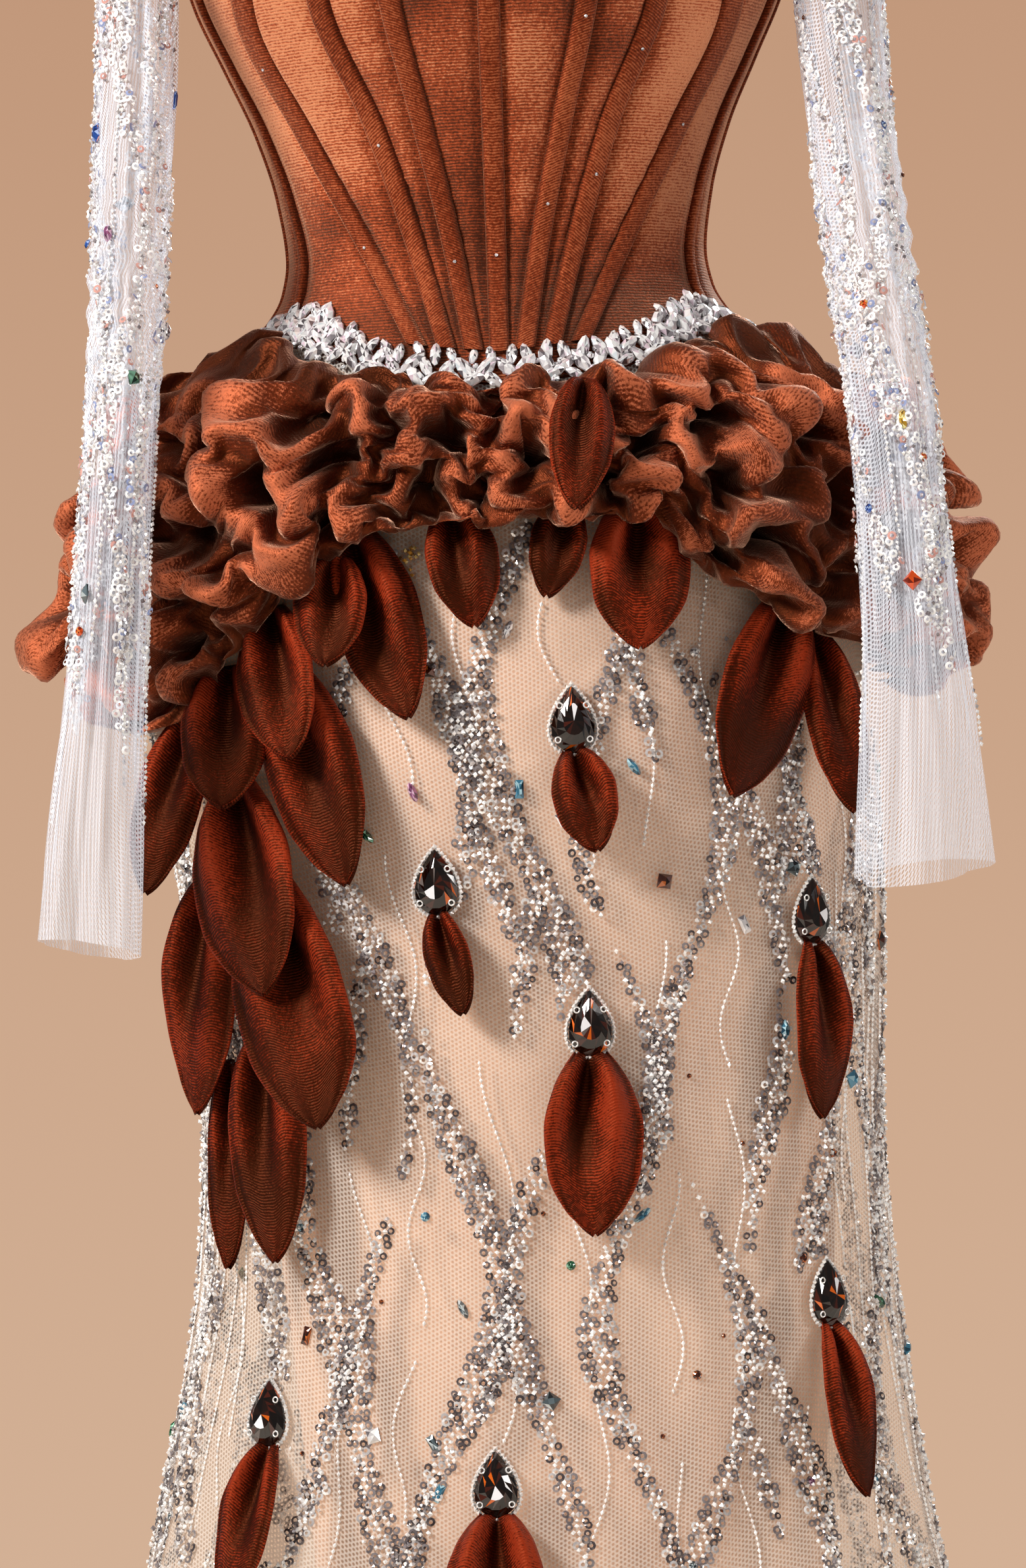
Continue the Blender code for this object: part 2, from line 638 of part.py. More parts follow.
def build_peplum(hem, skirt_front, skirt_back):
    """Three lengths of gathered velvet, from the corset's hem over the hips."""
    down = np.linspace(0, 1, PEPLUM_ROWS + 1)[:, None]
    for name, first, last, columns in PEPLUM_SPANS:
        angles = np.linspace(first, last, columns + 1)
        low, stand = peplum_lines(angles)
        top = below_hem(angles, hem, PEPLUM_DROP)
        z = top + (low - top) * down
        billow = np.sin(np.pi * down ** BILLOW_PLACE).clip(0, 1) ** BILLOW_ROUND
        settle = PEPLUM_SETTLE * np.clip((down - 0.5) * 2, 0, 1)
        out = PEPLUM_LIFT + stand * billow + settle + FOLD_DEPTH * folds(angles, down)
        gap = np.zeros_like(angles)
        gap[0], gap[-1] = SEAM_GAP, -SEAM_GAP
        turned = angles + np.degrees(gap / PEPLUM_RADIUS)
        outer = body(turned, z, out)
        inner = body(turned, z, out - VELVET_WALL)
        inner[0] = nearest_on_skirt(turned, z[0], skirt_front, skirt_back, 2 * REST_GAP)
        outer[0] = nearest_on_skirt(turned, z[0], skirt_front, skirt_back, 2 * REST_GAP + VELVET_WALL)
        wall(name, outer, inner, "velvet")


def nearest_on_skirt(angle, z, skirt_front, skirt_back, out):
    """Points on the skirt's facets at angles and heights, moved out level."""
    angle = (np.asarray(angle, float) + 90) % 360 - 90
    points = np.empty(angle.shape + (3,))
    for grid, first in ((skirt_front, -90.0), (skirt_back, 90.0)):
        chosen = (angle >= first) & (angle < first + 180)
        place = (angle[chosen] - first) / 180 * SKIRT_COLUMNS
        lines = on_facets(grid, np.arange(len(grid))[:, None] * np.ones(place.shape), place)
        rows = [np.interp(-h, -lines[:, i, 2], np.arange(len(grid))) for i, h in enumerate(z[chosen])]
        points[chosen] = on_facets(grid, np.array(rows), place)
    away = points * (1, 1, 0)
    return points + out * away / np.linalg.norm(away, axis=-1, keepdims=True)


# Leaves and stones


def place_on_skirt(x, z, out, to_front, skirt_front, skirt_back):
    """Point above the skirt's front at x and z, with the cloth's sideways, downward and outward directions.

    to_front turns them back towards the front: 0 leaves them on the cloth, 1 faces them straight ahead.
    """
    angle = math.degrees(math.asin(max(-0.98, min(0.98, float((x - sway(z)) / half_width(z))))))
    around = [angle, angle - 2, angle + 2, angle, angle]
    heights = np.array([z, z, z, z - 0.008, z + 0.008])
    point, left, right, low, high = nearest_on_skirt(around, heights, skirt_front, skirt_back, 0.0)
    across, slope = right - left, low - high
    facing = math.atan2(across[1], across[0]) * (1 - to_front)
    sideways = np.array([math.cos(facing), math.sin(facing), 0.0])
    level = np.array([math.sin(facing), -math.cos(facing), 0.0])
    flare = math.atan2(float(slope @ level), float(-slope[2]))
    down = math.sin(flare) * level + math.cos(flare) * np.array([0, 0, -1.0])
    outward = np.cross(down, sideways)
    return point + out * level, sideways, down, outward


def make_leaf(name, place, length, width, lean, rise):
    """A cupped velvet leaf that hangs from a place: its axes turned by its lean and rise, then bent."""
    point, sideways, down, outward = place
    lean = math.radians(lean)
    hang = math.cos(lean) * down + math.sin(lean) * sideways
    tilt = math.atan2(rise, length)
    along_axis = math.cos(tilt) * hang + math.sin(tilt) * outward
    face_axis = math.cos(tilt) * outward - math.sin(tilt) * hang
    cross_axis = np.cross(face_axis, along_axis)
    s = np.linspace(0, 1, LEAF_ROWS + 1)[:, None]
    t = np.linspace(-1, 1, LEAF_COLUMNS + 1)[None]
    half = width / 2 * smooth(s, LEAF_OUTLINE_ALONG, LEAF_OUTLINE_HALF)
    cup = LEAF_CUP * t * t * np.sin(np.pi * s) + LEAF_FOLD * (1 - (1 - np.abs(t)) * (1 - s) ** 2)
    cup = cup + 4 * LEAF_BOW * s * (1 - s)
    sheet = (
        point
        + (s * length)[..., None] * along_axis
        + (half * t)[..., None] * cross_axis
        + cup[..., None] * face_axis
    )
    wall(name, sheet + face_axis * LEAF_WALL, sheet, "velvet_leaf")


def teardrop(sides):
    """Outline of a teardrop, tip up: a circle pulled up to a point, one unit wide, from -1 to 1 tall."""
    turn = np.arange(sides) * 2 * np.pi / sides
    across = np.sin(turn) * np.sin((np.pi - np.abs(np.pi - turn)) / 2 + 1e-6) ** 0.9
    return np.stack([across / np.abs(across).max(), np.cos(turn)], axis=1)


def make_stone(name, place):
    """A faceted teardrop in a rim: the outline, a belt, and a smaller flat table on top."""
    point, sideways, down, outward = place
    outline = teardrop(STONE_SIDES)
    points = []
    for scale, height in STONE_RINGS:
        flat = outline * (STONE_WIDTH / 2, STONE_LENGTH / 2) * scale
        ring = point + flat[:, :1] * sideways - flat[:, 1:] * down
        points.append(ring + outward * STONE_HEIGHT * height)
    faces = [tuple(range(STONE_SIDES)), tuple(reversed(range(2 * STONE_SIDES, 3 * STONE_SIDES)))]
    for r in range(2):
        for c in range(STONE_SIDES):
            d = (c + 1) % STONE_SIDES
            low, high = r * STONE_SIDES, (r + 1) * STONE_SIDES
            faces.append((low + d, low + c, high + c, high + d))
    solid(name, np.concatenate(points), faces, "brown_glass")


def build_leaves_and_stones(skirt_front, skirt_back):
    """The loose leaves, then each stone with the leaf that hangs from its lower end."""
    for name, x, z, length, width, lean, lift, rise, to_front in LEAVES:
        place = place_on_skirt(x, z, lift, to_front, skirt_front, skirt_back)
        make_leaf(name, place, length, width, lean, rise)
    for i, (x, z, length, width, lean, rise) in enumerate(STONES, 1):
        make_stone(f"stone_{i}", place_on_skirt(x, z, STONE_LIFT, 0.0, skirt_front, skirt_back))
        foot = z - STONE_LENGTH / 2 * STONE_BELT - 2 * REST_GAP
        hang = place_on_skirt(x, foot, STONE_LIFT, 0.0, skirt_front, skirt_back)
        make_leaf(f"stone_leaf_{i}", hang, length, width, lean, rise)


# Yoke


def bowed(start, end, bow, count):
    """Points from start to end on a parabola that bows out by a vector in its middle."""
    t = np.linspace(0, 1, count)[:, None]
    return np.asarray(start) * (1 - t) + np.asarray(end) * t + 4 * t * (1 - t) * np.asarray(bow)


def with_middles(points):
    """The same edge with a point added in the middle of each side."""
    pairs = np.stack([points[:-1], (points[:-1] + points[1:]) / 2], axis=1)
    return np.concatenate([pairs.reshape(-1, 3), points[-1:]])


def coons(low, high, left, right):
    """Patch between four edges: the two straight blends added, less the blend of the corners."""
    u = np.linspace(0, 1, len(low))[None, :, None]
    v = np.linspace(0, 1, len(left))[:, None, None]
    across = left[:, None] * (1 - u) + right[:, None] * u
    along = low[None] * (1 - v) + high[None] * v
    corners = (low[0] * (1 - u) + low[-1] * u) * (1 - v) + (high[0] * (1 - u) + high[-1] * u) * v
    return across + along - corners


def yoke_patch(low, neckline, seam_y, bow):
    """Yoke grid above an edge of the corset. The armhole edges bow, the top runs shoulder, neck, shoulder."""
    shoulder = np.array(SHOULDER) + (0, seam_y, 0)
    neck = np.array(NECK) + (0, seam_y, 0)
    flip = np.array((-1, 1, 1))
    on_neck = len(low) - 2 * SHOULDER_COLUMNS
    t = np.linspace(-1, 1, on_neck)
    sag = np.cos(t * np.pi / 2)
    centre = np.array(neckline) - neck * (0, 1, 1)
    across = neck[0] * np.sin(t * np.pi / 2)
    scoop = np.stack([across, neck[1] + centre[1] * sag, neck[2] + centre[2] * sag], axis=1)
    slope = bowed(shoulder, neck, (0, 0, -SHOULDER_SAG), SHOULDER_COLUMNS + 1)
    high = np.concatenate([(slope * flip)[:-1], scoop, slope[::-1][1:]])
    bow = np.array(bow)
    right = bowed(low[-1], shoulder, bow, YOKE_ROWS + 1)
    left = bowed(low[0], shoulder * flip, bow * flip, YOKE_ROWS + 1)
    return coons(low, high, left, right)


def build_yoke(front_lines, back_lines):
    """Sheer front and back above the corset. Returns their armhole edges on the right."""
    lift = np.array((0, 0, SEAM_GAP))
    low_front = panel_grid(front_lines, 0.0)[-1] + lift
    half = panel_grid(back_lines[UNDERARM:], 0.0)[-1] + lift
    low_back = with_middles(np.concatenate([half, (half * (-1, 1, 1))[::-1][1:]])[::-1])
    edges = []
    for name, low, neckline, seam, bow in (
        ("yoke_front", low_front, NECKLINE_FRONT, -SEAM_GAP, YOKE_BOW_FRONT),
        ("yoke_back", low_back, NECKLINE_BACK, SEAM_GAP, YOKE_BOW_BACK),
    ):
        patch = yoke_patch(low, neckline, seam, bow)
        normals = grid_normals(patch)
        if normals[2, len(low) // 2, 1] * low[len(low) // 2, 1] < 0:
            normals = -normals
        inner = patch - normals * NET_WALL
        inner[0] = patch[0] - normals[0] * (1, 1, 0) * NET_WALL
        on_shoulder = np.r_[0:SHOULDER_COLUMNS + 1, len(low) - SHOULDER_COLUMNS - 1:len(low)]
        inner[-1, on_shoulder] = patch[-1, on_shoulder] - (0, 0, NET_WALL)
        wall(name, patch, inner, "sleeve_net")
        edges.append(patch[:, -1])
    return edges


# Sleeves


def armhole(edges, side_lines, back_lines):
    """Closed loop round the right armhole: down the front edge, under the arm, up the back edge."""
    front_edge, back_edge = edges
    under = side_lines + back_lines[1:UNDERARM + 1]
    arc = panel_grid(under, 0.0)[-1]
    picked = np.linspace(0, len(arc) - 1, SLEEVE_SIDES_UNDERARM + 1).round().astype(int)
    arc = arc[picked][1:-1] + (0.0, 0, 2 * SEAM_GAP)
    out = np.array((2 * SEAM_GAP, 0, 0))
    loop = [front_edge[::-1] + out, arc, (back_edge + out)[:-1]]
    return np.concatenate(loop)


def sleeve_ring(z, x, y, half, depth, count):
    """Level oval of a sleeve, from its outer side round by the front, as the armhole's loop runs."""
    turn = np.arange(count) * 2 * np.pi / count
    return np.stack([x + half * np.cos(turn), y - depth * np.sin(turn), np.full(count, z)], axis=1)


def make_sleeve(name, hand, loop, table):
    """A set-in sleeve: curves from the armhole to its first level ring, then rings down to the open end."""
    z_first, z_last = table[0][0], table[-1][0]
    falling = [-row[0] for row in table]
    heights = np.linspace(z_first, z_last, SLEEVE_ROWS_BELOW + 1)
    values = [[smooth(-z, falling, column(table, i)) for i in (1, 2, 3, 4)] for z in heights]
    rings = [sleeve_ring(z, *value, len(loop)) for z, value in zip(heights, values)]
    first = rings[0]
    control = np.stack([first[:, 0], (first[:, 1] + loop[:, 1]) / 2, loop[:, 2] + SLEEVE_CAP_RISE], axis=1)
    cap = []
    for t in np.linspace(0, 1, SLEEVE_ROWS_CAP + 1)[:-1]:
        cap.append((1 - t) ** 2 * loop + 2 * t * (1 - t) * control + t * t * first)
    points = np.stack(cap + rings)
    normals = grid_normals(points, ring=True)
    if normals[-1, 0, 0] < 0:
        normals = -normals
    inner = points - normals * NET_WALL
    mirror = np.array((hand, 1, 1))
    wall(name, points * mirror, inner * mirror, "sleeve_net", ring=True)


def clear_scene():
    for old in list(bpy.data.objects):
        bpy.data.objects.remove(old, do_unlink=True)


def main():
    clear_scene()
    front, side, back = build_corset()
    make_trim("crystal_trim_front", left_of(side)[:-1] + front + side[1:], 2)
    make_trim("crystal_trim_back", back + [round_the_back(line) for line in reversed(back[:-1])], 3)
    hem = sewn_hem(front, side, back)
    skirt_front, skirt_back = build_skirt(hem)
    build_lining(hem)
    build_peplum(hem, skirt_front, skirt_back)
    build_leaves_and_stones(skirt_front, skirt_back)
    edges = build_yoke(front, back)
    loop = armhole(edges, side, back)
    make_sleeve("sleeve_left", -1, loop, SLEEVE_LEFT)
    make_sleeve("sleeve_right", 1, loop, SLEEVE_RIGHT)


main()
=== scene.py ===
# %% [markdown]
# # A mermaid evening dress
#
# The dress stands as it is worn, with no wearer in it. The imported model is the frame: every piece below is made
# in metres around it, takes the place of one or more of its solids, and stays on that solid's form.
#
# A gown like this has no hard parts. Its look comes from three cloths (rust velvet, white net, nude lining),
# from the way the velvet is gathered over the hips, and from thousands of sequins and beads.

# %% Load the frame
import math

import bpy
import numpy as np
from mathutils import Matrix, Vector


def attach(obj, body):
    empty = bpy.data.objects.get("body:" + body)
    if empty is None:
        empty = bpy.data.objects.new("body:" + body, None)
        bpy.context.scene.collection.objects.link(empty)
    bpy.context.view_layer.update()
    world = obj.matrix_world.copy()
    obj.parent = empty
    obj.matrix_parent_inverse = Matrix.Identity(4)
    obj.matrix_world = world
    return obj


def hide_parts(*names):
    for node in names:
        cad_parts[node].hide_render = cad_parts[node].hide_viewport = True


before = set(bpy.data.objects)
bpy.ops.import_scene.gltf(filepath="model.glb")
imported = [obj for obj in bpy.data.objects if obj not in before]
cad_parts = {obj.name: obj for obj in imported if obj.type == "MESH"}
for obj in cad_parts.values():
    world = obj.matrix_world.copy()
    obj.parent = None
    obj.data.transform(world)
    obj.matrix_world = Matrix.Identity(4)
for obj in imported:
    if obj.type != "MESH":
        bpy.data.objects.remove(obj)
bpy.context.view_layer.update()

# %% [markdown]
# ## Camera
#
# The photograph is a close-up, level with the hips, from nearly three metres away. It shows 0.81 m of the
# dress's height, and it leans by almost two degrees.

# %% Camera
VIEW_HEIGHT, VIEW_DISTANCE, VIEW_LEVEL, VIEW_LEAN = 0.809, 2.8, -0.272, -1.8
FLOOR_LEVEL = -1.060


def add_object(name, data):
    """Put a mesh, lamp or camera into the scene."""
    made = bpy.data.objects.new(name, data)
    bpy.context.scene.collection.objects.link(made)
    return made


lens = bpy.data.cameras.new("camera")
lens.lens = lens.sensor_width * VIEW_DISTANCE / VIEW_HEIGHT
lens.clip_start, lens.clip_end = 0.05, 60
camera = add_object("camera", lens)
turn = Vector((0, 1, 0)).to_track_quat("-Z", "Y").to_matrix().to_4x4()
lean = Matrix.Rotation(math.radians(VIEW_LEAN), 4, "Z")
camera.matrix_world = Matrix.Translation((0, -VIEW_DISTANCE, VIEW_LEVEL)) @ turn @ lean
bpy.context.scene.camera = camera
print("lens:", round(lens.lens, 1), "mm")

# %% [markdown]
# ## Helpers for materials
#
# Colours are written as sRGB hex codes, as a colour picker gives them, and one function turns them to the
# linear light that Blender works in. One small function adds a node with its settings and its links.

# %% Colour, node and material
def colour(code):
    """Linear RGBA of an sRGB hex code: each channel through the sRGB curve, alpha 1."""
    channels = np.array([int(code[i:i + 2], 16) for i in (1, 3, 5)]) / 255
    light = np.where(channels <= 0.04045, channels / 12.92, ((channels + 0.055) / 1.055) ** 2.4)
    return (*light.tolist(), 1.0)


def plug(target, inputs):
    """Set or link inputs of a node, each by its name or number."""
    for name, value in inputs.items():
        if isinstance(value, bpy.types.NodeSocket):
            target.id_data.links.new(value, target.inputs[name])
        else:
            target.inputs[name].default_value = value


def node(tree, kind, inputs=None, **settings):
    """Add a node with its settings, and set or link its inputs."""
    made = tree.nodes.new(kind)
    for name, value in settings.items():
        setattr(made, name, value)
    plug(made, inputs or {})
    return made


def scaled(tree, value, factor, added):
    """Value times a factor, plus what is added to it."""
    return node(tree, "ShaderNodeMath", {0: value, 1: factor, 2: added}, operation="MULTIPLY_ADD").outputs[0]


def new_material(name, **inputs):
    """A Principled material. Inputs are named with _ for a space."""
    material = bpy.data.materials.new(name)
    material.use_nodes = True
    shader = material.node_tree.nodes["Principled BSDF"]
    plug(shader, {key.replace("_", " "): value for key, value in inputs.items()})
    return material, material.node_tree, shader


def ramp(tree, value, stops, **settings):
    """A colour ramp through stops of (place, hex code)."""
    made = node(tree, "ShaderNodeValToRGB", {"Fac": value})
    for name, setting in settings.items():
        setattr(made.color_ramp, name, setting)
    points = made.color_ramp.elements
    while len(points) < len(stops):
        points.new(0.5)
    for point, (place, code) in zip(points, stops):
        point.position, point.color = place, colour(code)
    return made.outputs["Color"]


# %% [markdown]
# ## Light and surroundings
#
# The picture has a warm plain backdrop, a soft light from the upper left and a weaker one from the right. Soft
# light is a large area light: velvet then shows its pile as broad bright edges, and crystals still catch small
# glints from two small lamps. The room's own light is kept low, so folds stay deep: the world is bright only
# where the camera looks at it.

# %% Lights
world = bpy.data.worlds.new("studio")
bpy.context.scene.world = world
world.use_nodes = True
tree = world.node_tree
direction = node(tree, "ShaderNodeTexCoord").outputs["Generated"]
height = node(tree, "ShaderNodeSeparateXYZ", {"Vector": direction}).outputs["Z"]
level = node(tree, "ShaderNodeMapRange", {"Value": height, "From Min": -0.16, "From Max": 0.16}).outputs["Result"]
# The backdrop that the camera sees is painted lighter at the bottom than at the top, as a painted fall of the studio
# light.
seen = node(tree, "ShaderNodeBackground", {"Color": ramp(tree, level, ((0.0, "#d4b297"), (1.0, "#c1977a")))})
plug(tree.nodes["Background"], {"Color": colour("#efe9e4"), "Strength": 0.19})
from_camera = node(tree, "ShaderNodeLightPath").outputs["Is Camera Ray"]
shown = node(tree, "ShaderNodeMixShader", {
    0: from_camera, 1: tree.nodes["Background"].outputs[0], 2: seen.outputs[0]})
plug(tree.nodes["World Output"], {"Surface": shown.outputs[0]})
bpy.context.scene.view_settings.view_transform = "Standard"  # shows a hex code as it is written

LIT_PLACE = Vector((0, 0, -0.35))  # what every lamp points at
LAMPS = (  # name, place, size, watts, colour
    ("key_light", (-2.0, -1.6, 1.3), 0.8, 120, "#fffaf5"),
    ("fill_light", (2.2, -0.9, 0.4), 0.8, 27, "#fffaf6"),
    ("back_light", (0.9, 2.0, 1.0), 1.2, 24, "#fff8f0"),
    ("sparkle_left", (-1.2, -2.5, 0.9), 0.12, 4, "#ffffff"),
    ("sparkle_right", (1.5, -2.4, 0.5), 0.10, 3, "#ffffff"),
)
for name, place, size, power, tone in LAMPS:
    lamp = bpy.data.lights.new(name, "AREA")
    lamp.shape, lamp.size, lamp.energy, lamp.color = "DISK", size, power, colour(tone)[:3]
    light = add_object(name, lamp)
    light.location = place
    light.rotation_euler = (LIT_PLACE - Vector(place)).to_track_quat("-Z", "Y").to_euler()
print("lights:", len(LAMPS))

# %% [markdown]
# ## The dress's form
#
# All the cloth follows one form: an oval at each height, with its own depth to the front and to the back, two
# cups, and a flare with ten waves at the hem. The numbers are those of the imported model, so a piece that is
# made on this form lies where its solid lies. Angles start at the centre front and grow to the right, and
# heights start at the waist.

# %% Form
BODY = (  # height, half width, depth to the front, depth to the back
    (-1.060, 0.392, 0.300, 0.322), (-0.950, 0.322, 0.232, 0.250), (-0.850, 0.270, 0.182, 0.196),
    (-0.760, 0.231, 0.147, 0.157), (-0.677, 0.205, 0.124, 0.130), (-0.600, 0.190, 0.113, 0.117),
    (-0.520, 0.178, 0.107, 0.108), (-0.445, 0.174, 0.108, 0.108), (-0.380, 0.177, 0.112, 0.113),
    (-0.310, 0.181, 0.118, 0.123), (-0.260, 0.184, 0.121, 0.131), (-0.200, 0.185, 0.121, 0.137),
    (-0.150, 0.182, 0.118, 0.135), (-0.110, 0.177, 0.114, 0.129), (-0.078, 0.168, 0.108, 0.118),
    (-0.058, 0.147, 0.098, 0.104), (-0.044, 0.131, 0.091, 0.094), (-0.031, 0.116, 0.085, 0.086),
    (-0.017, 0.108, 0.080, 0.078), (0.000, 0.105, 0.078, 0.074), (0.031, 0.109, 0.082, 0.077),
    (0.065, 0.119, 0.090, 0.084), (0.099, 0.134, 0.102, 0.091), (0.133, 0.149, 0.114, 0.096),
    (0.160, 0.156, 0.122, 0.099), (0.190, 0.159, 0.126, 0.099), (0.240, 0.158, 0.120, 0.096),
)
SWAY = ((-1.060, 0.0), (-0.820, 0.001), (-0.677, 0.003), (-0.480, 0.010), (-0.353, 0.009), (-0.240, 0.0))
CORSET_HEM = (
    (0, -0.072), (20, -0.066), (38, -0.052), (55, -0.042), (70, -0.046),
    (82, -0.058), (90, -0.070), (120, -0.076), (180, -0.072),
)
CORSET_TOP, CUP_RISE, CUP_ANGLE, CUP_SPREAD, CUP_OUT = 0.218, 0.018, 27.0, 15.0, 0.014
CUP_LEVEL, CUP_TALL = 0.188, 0.038
FLARE_START, HEM_WAVES, WAVE_OUT = -0.62, 10, 0.024
TRIM_HEIGHT, SKIRT_HEM = 0.0155, FLOOR_LEVEL


def column(table, index):
    return [row[index] for row in table]


def smooth(at, known_at, known):
    """Curve through known points with no overshoot: cubic pieces whose slopes are harmonic means."""
    at, known_at, known = (np.asarray(values, float) for values in (at, known_at, known))
    steps = np.diff(known_at)
    rises = np.diff(known) / steps
    slopes = np.zeros_like(known)
    slopes[0], slopes[-1] = rises[0], rises[-1]
    same_way = rises[1:] * rises[:-1] > 0
    before, after = rises[:-1][same_way], rises[1:][same_way]
    slopes[1:-1][same_way] = 2 * before * after / (before + after)
    i = np.clip(np.searchsorted(known_at, at) - 1, 0, len(steps) - 1)
    t = np.clip((at - known_at[i]) / steps[i], 0, 1)
    start, end = (1 + 2 * t) * (1 - t) ** 2 * known[i], t * t * (3 - 2 * t) * known[i + 1]
    return start + end + t * (1 - t) * steps[i] * ((1 - t) * slopes[i] - t * slopes[i + 1])


def hill(at, middle, spread):
    """Smooth bump: 1 in the middle, and e to the minus square of the distance in spreads away from it."""
    return np.exp(-(((at - middle) / spread) ** 2))


def all_round(count):
    """Angles round the body, from the centre back."""
    return np.linspace(-180, 180, count, endpoint=False)


def look_up(table, at, index=1):
    """Value from a column of a table at places in its first column, on a smooth curve through its rows."""
    return smooth(at, column(table, 0), column(table, index))


def half_width(z):
    return look_up(BODY, z)


def from_front(angle):
    """Degrees from the centre front, the shorter way round."""
    return np.abs((np.asarray(angle, float) + 180) % 360 - 180)


def hem_line(angle):
    return look_up(CORSET_HEM, from_front(angle))


def top_line(angle):
    return CORSET_TOP + CUP_RISE * hill(from_front(angle), CUP_ANGLE, CUP_SPREAD)


def body(angle, z, out=0.0):
    """Point at an angle and a height, moved out level: x is half width times sine, y is depth times cosine."""
    angle, z = np.broadcast_arrays(np.asarray(angle, float), np.asarray(z, float))
    cup = CUP_OUT * np.exp(-(((from_front(angle) - CUP_ANGLE) / CUP_SPREAD) ** 2) - ((z - CUP_LEVEL) / CUP_TALL) ** 2)
    share = np.clip((FLARE_START - z) / (FLARE_START - SKIRT_HEM), 0, 1) ** 1.5
    out = out + cup + WAVE_OUT * share * np.sin(np.radians(angle * HEM_WAVES) + 0.9)
    sine, cosine = np.sin(np.radians(angle)), np.cos(np.radians(angle))
    depth = np.where(cosine > 0, look_up(BODY, z, 2), look_up(BODY, z, 3))
    x = look_up(SWAY, z) + (half_width(z) + out) * sine
    return np.stack([x, -(depth + out) * cosine, z], axis=-1)


def unit(vectors):
    return vectors / np.linalg.norm(vectors, axis=-1, keepdims=True)


def on_body(angle, z, out=0.0):
    """Places on the form with three directions each, from small steps round and up: right, up, outwards."""
    angle, z = np.broadcast_arrays(np.asarray(angle, float), np.asarray(z, float))
    right = unit(body(angle + 0.5, z, out) - body(angle - 0.5, z, out))
    outward = unit(np.cross(right, body(angle, z + 0.002, out) - body(angle, z - 0.002, out)))
    return body(angle, z, out), np.stack([right, np.cross(outward, right), outward], axis=-2)


def reach_of(angle, z):
    """Metres that one degree spans on the form at an angle and a height."""
    return np.linalg.norm(body(np.asarray(angle) + 0.5, z) - body(np.asarray(angle) - 0.5, z), axis=-1)


print("waist:", round(float(2 * half_width(0)), 3), "m wide")

# %% [markdown]
# ## Helpers for meshes
#
# A cloth is a grid of points: rows run down and columns run to the right, so its faces point outwards. Its UV map,
# "cloth", holds metres along the cloth, so a net or a pile is drawn in true millimetres. Velvet also holds painted
# light at each point: 0 where shade is painted in a deep fold or beside a raised edge, 1 where a highlight is painted
# on a ridge or an edge.

# %% Meshes
def grid_faces(rows, columns, ring=False):
    """Quads between neighbouring rows and columns. A ring also joins its last column to its first."""
    r, c = np.meshgrid(np.arange(rows - 1), np.arange(columns if ring else columns - 1), indexing="ij")
    d = (c + 1) % columns
    faces = (r * columns + c, (r + 1) * columns + c, (r + 1) * columns + d, r * columns + d)
    return np.stack(faces, -1).reshape(-1, 4)


def add_piece(name, points, faces, material, uv=None, tint=None, faceted=False):
    """A mesh on the dress. uv has a value for each face corner, tint a colour for each point."""
    points, faces = np.asarray(points, np.float32).reshape(-1, 3), np.asarray(faces, np.int32)
    mesh = bpy.data.meshes.new(name)
    mesh.vertices.add(len(points))
    mesh.vertices.foreach_set("co", points.ravel())
    mesh.loops.add(faces.size)
    mesh.loops.foreach_set("vertex_index", faces.ravel())
    mesh.polygons.add(len(faces))
    mesh.polygons.foreach_set("loop_start", np.arange(0, faces.size, faces.shape[1], dtype=np.int32))
    mesh.update(calc_edges=True)
    if uv is not None:
        mesh.uv_layers.new(name="cloth").uv.foreach_set("vector", np.asarray(uv, np.float32).ravel())
    if tint is not None:
        colours = np.concatenate([np.asarray(tint), np.ones((len(points), 1))], axis=1).astype(np.float32)
        mesh.color_attributes.new("tint", "FLOAT_COLOR", "POINT").data.foreach_set("color", colours.ravel())
    mesh.shade_flat() if faceted else mesh.shade_smooth()
    mesh.materials.append(material)
    piece = add_object(name, mesh)
    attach(piece, "root")
    return piece


def lengths(points, axis):
    """Metres run along a grid from its first row or column, by adding up its steps."""
    steps = np.linalg.norm(np.diff(points, axis=axis), axis=-1)
    return np.concatenate([np.zeros_like(steps[:1] if axis == 0 else steps[:, :1]), np.cumsum(steps, axis)], axis)


def close(points, ring=True):
    """A grid whose last column is its first once more, if it is a ring."""
    return np.concatenate([points, points[:, :1]], axis=1) if ring else points


def set_painted_light(piece, worn):
    """Give each point of a piece its painted light: painted shade towards 0, painted highlight towards 1."""
    values = np.broadcast_to(worn, len(piece.data.vertices)).astype(np.float32)
    piece.data.attributes.new("worn", "FLOAT", "POINT").data.foreach_set("value", values)


def add_cloth(name, points, material, ring=False, wall=0.0, worn=None):
    """A sheet of cloth from a grid of points, with its UVs in metres, its painted light, and a wall inwards if it has
    one.
    """
    rows, columns = points.shape[:2]
    closed = close(points, ring)
    across, down = lengths(closed, 1), lengths(closed, 0)
    flat = np.stack([across - across[:, -1:] / 2, -down], -1).reshape(-1, 2)
    uv = flat[grid_faces(rows, closed.shape[1]).ravel()]
    piece = add_piece(name, points, grid_faces(rows, columns, ring), material, uv=uv)
    if worn is not None:
        set_painted_light(piece, np.broadcast_to(worn, (rows, columns)).ravel())
    if wall:
        solidify = piece.modifiers.new("wall", "SOLIDIFY")
        solidify.thickness, solidify.offset = wall, -1
    return piece


def fit(piece, slot, *nodes):
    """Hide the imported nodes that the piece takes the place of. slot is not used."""
    if nodes:
        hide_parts(*nodes)


def add_sheet(name, material, slot, stands_for, points, held, ring=False, **cloth):
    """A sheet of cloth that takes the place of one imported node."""
    piece = add_cloth(name, points, material, ring, **cloth)
    fit(piece, slot, stands_for)


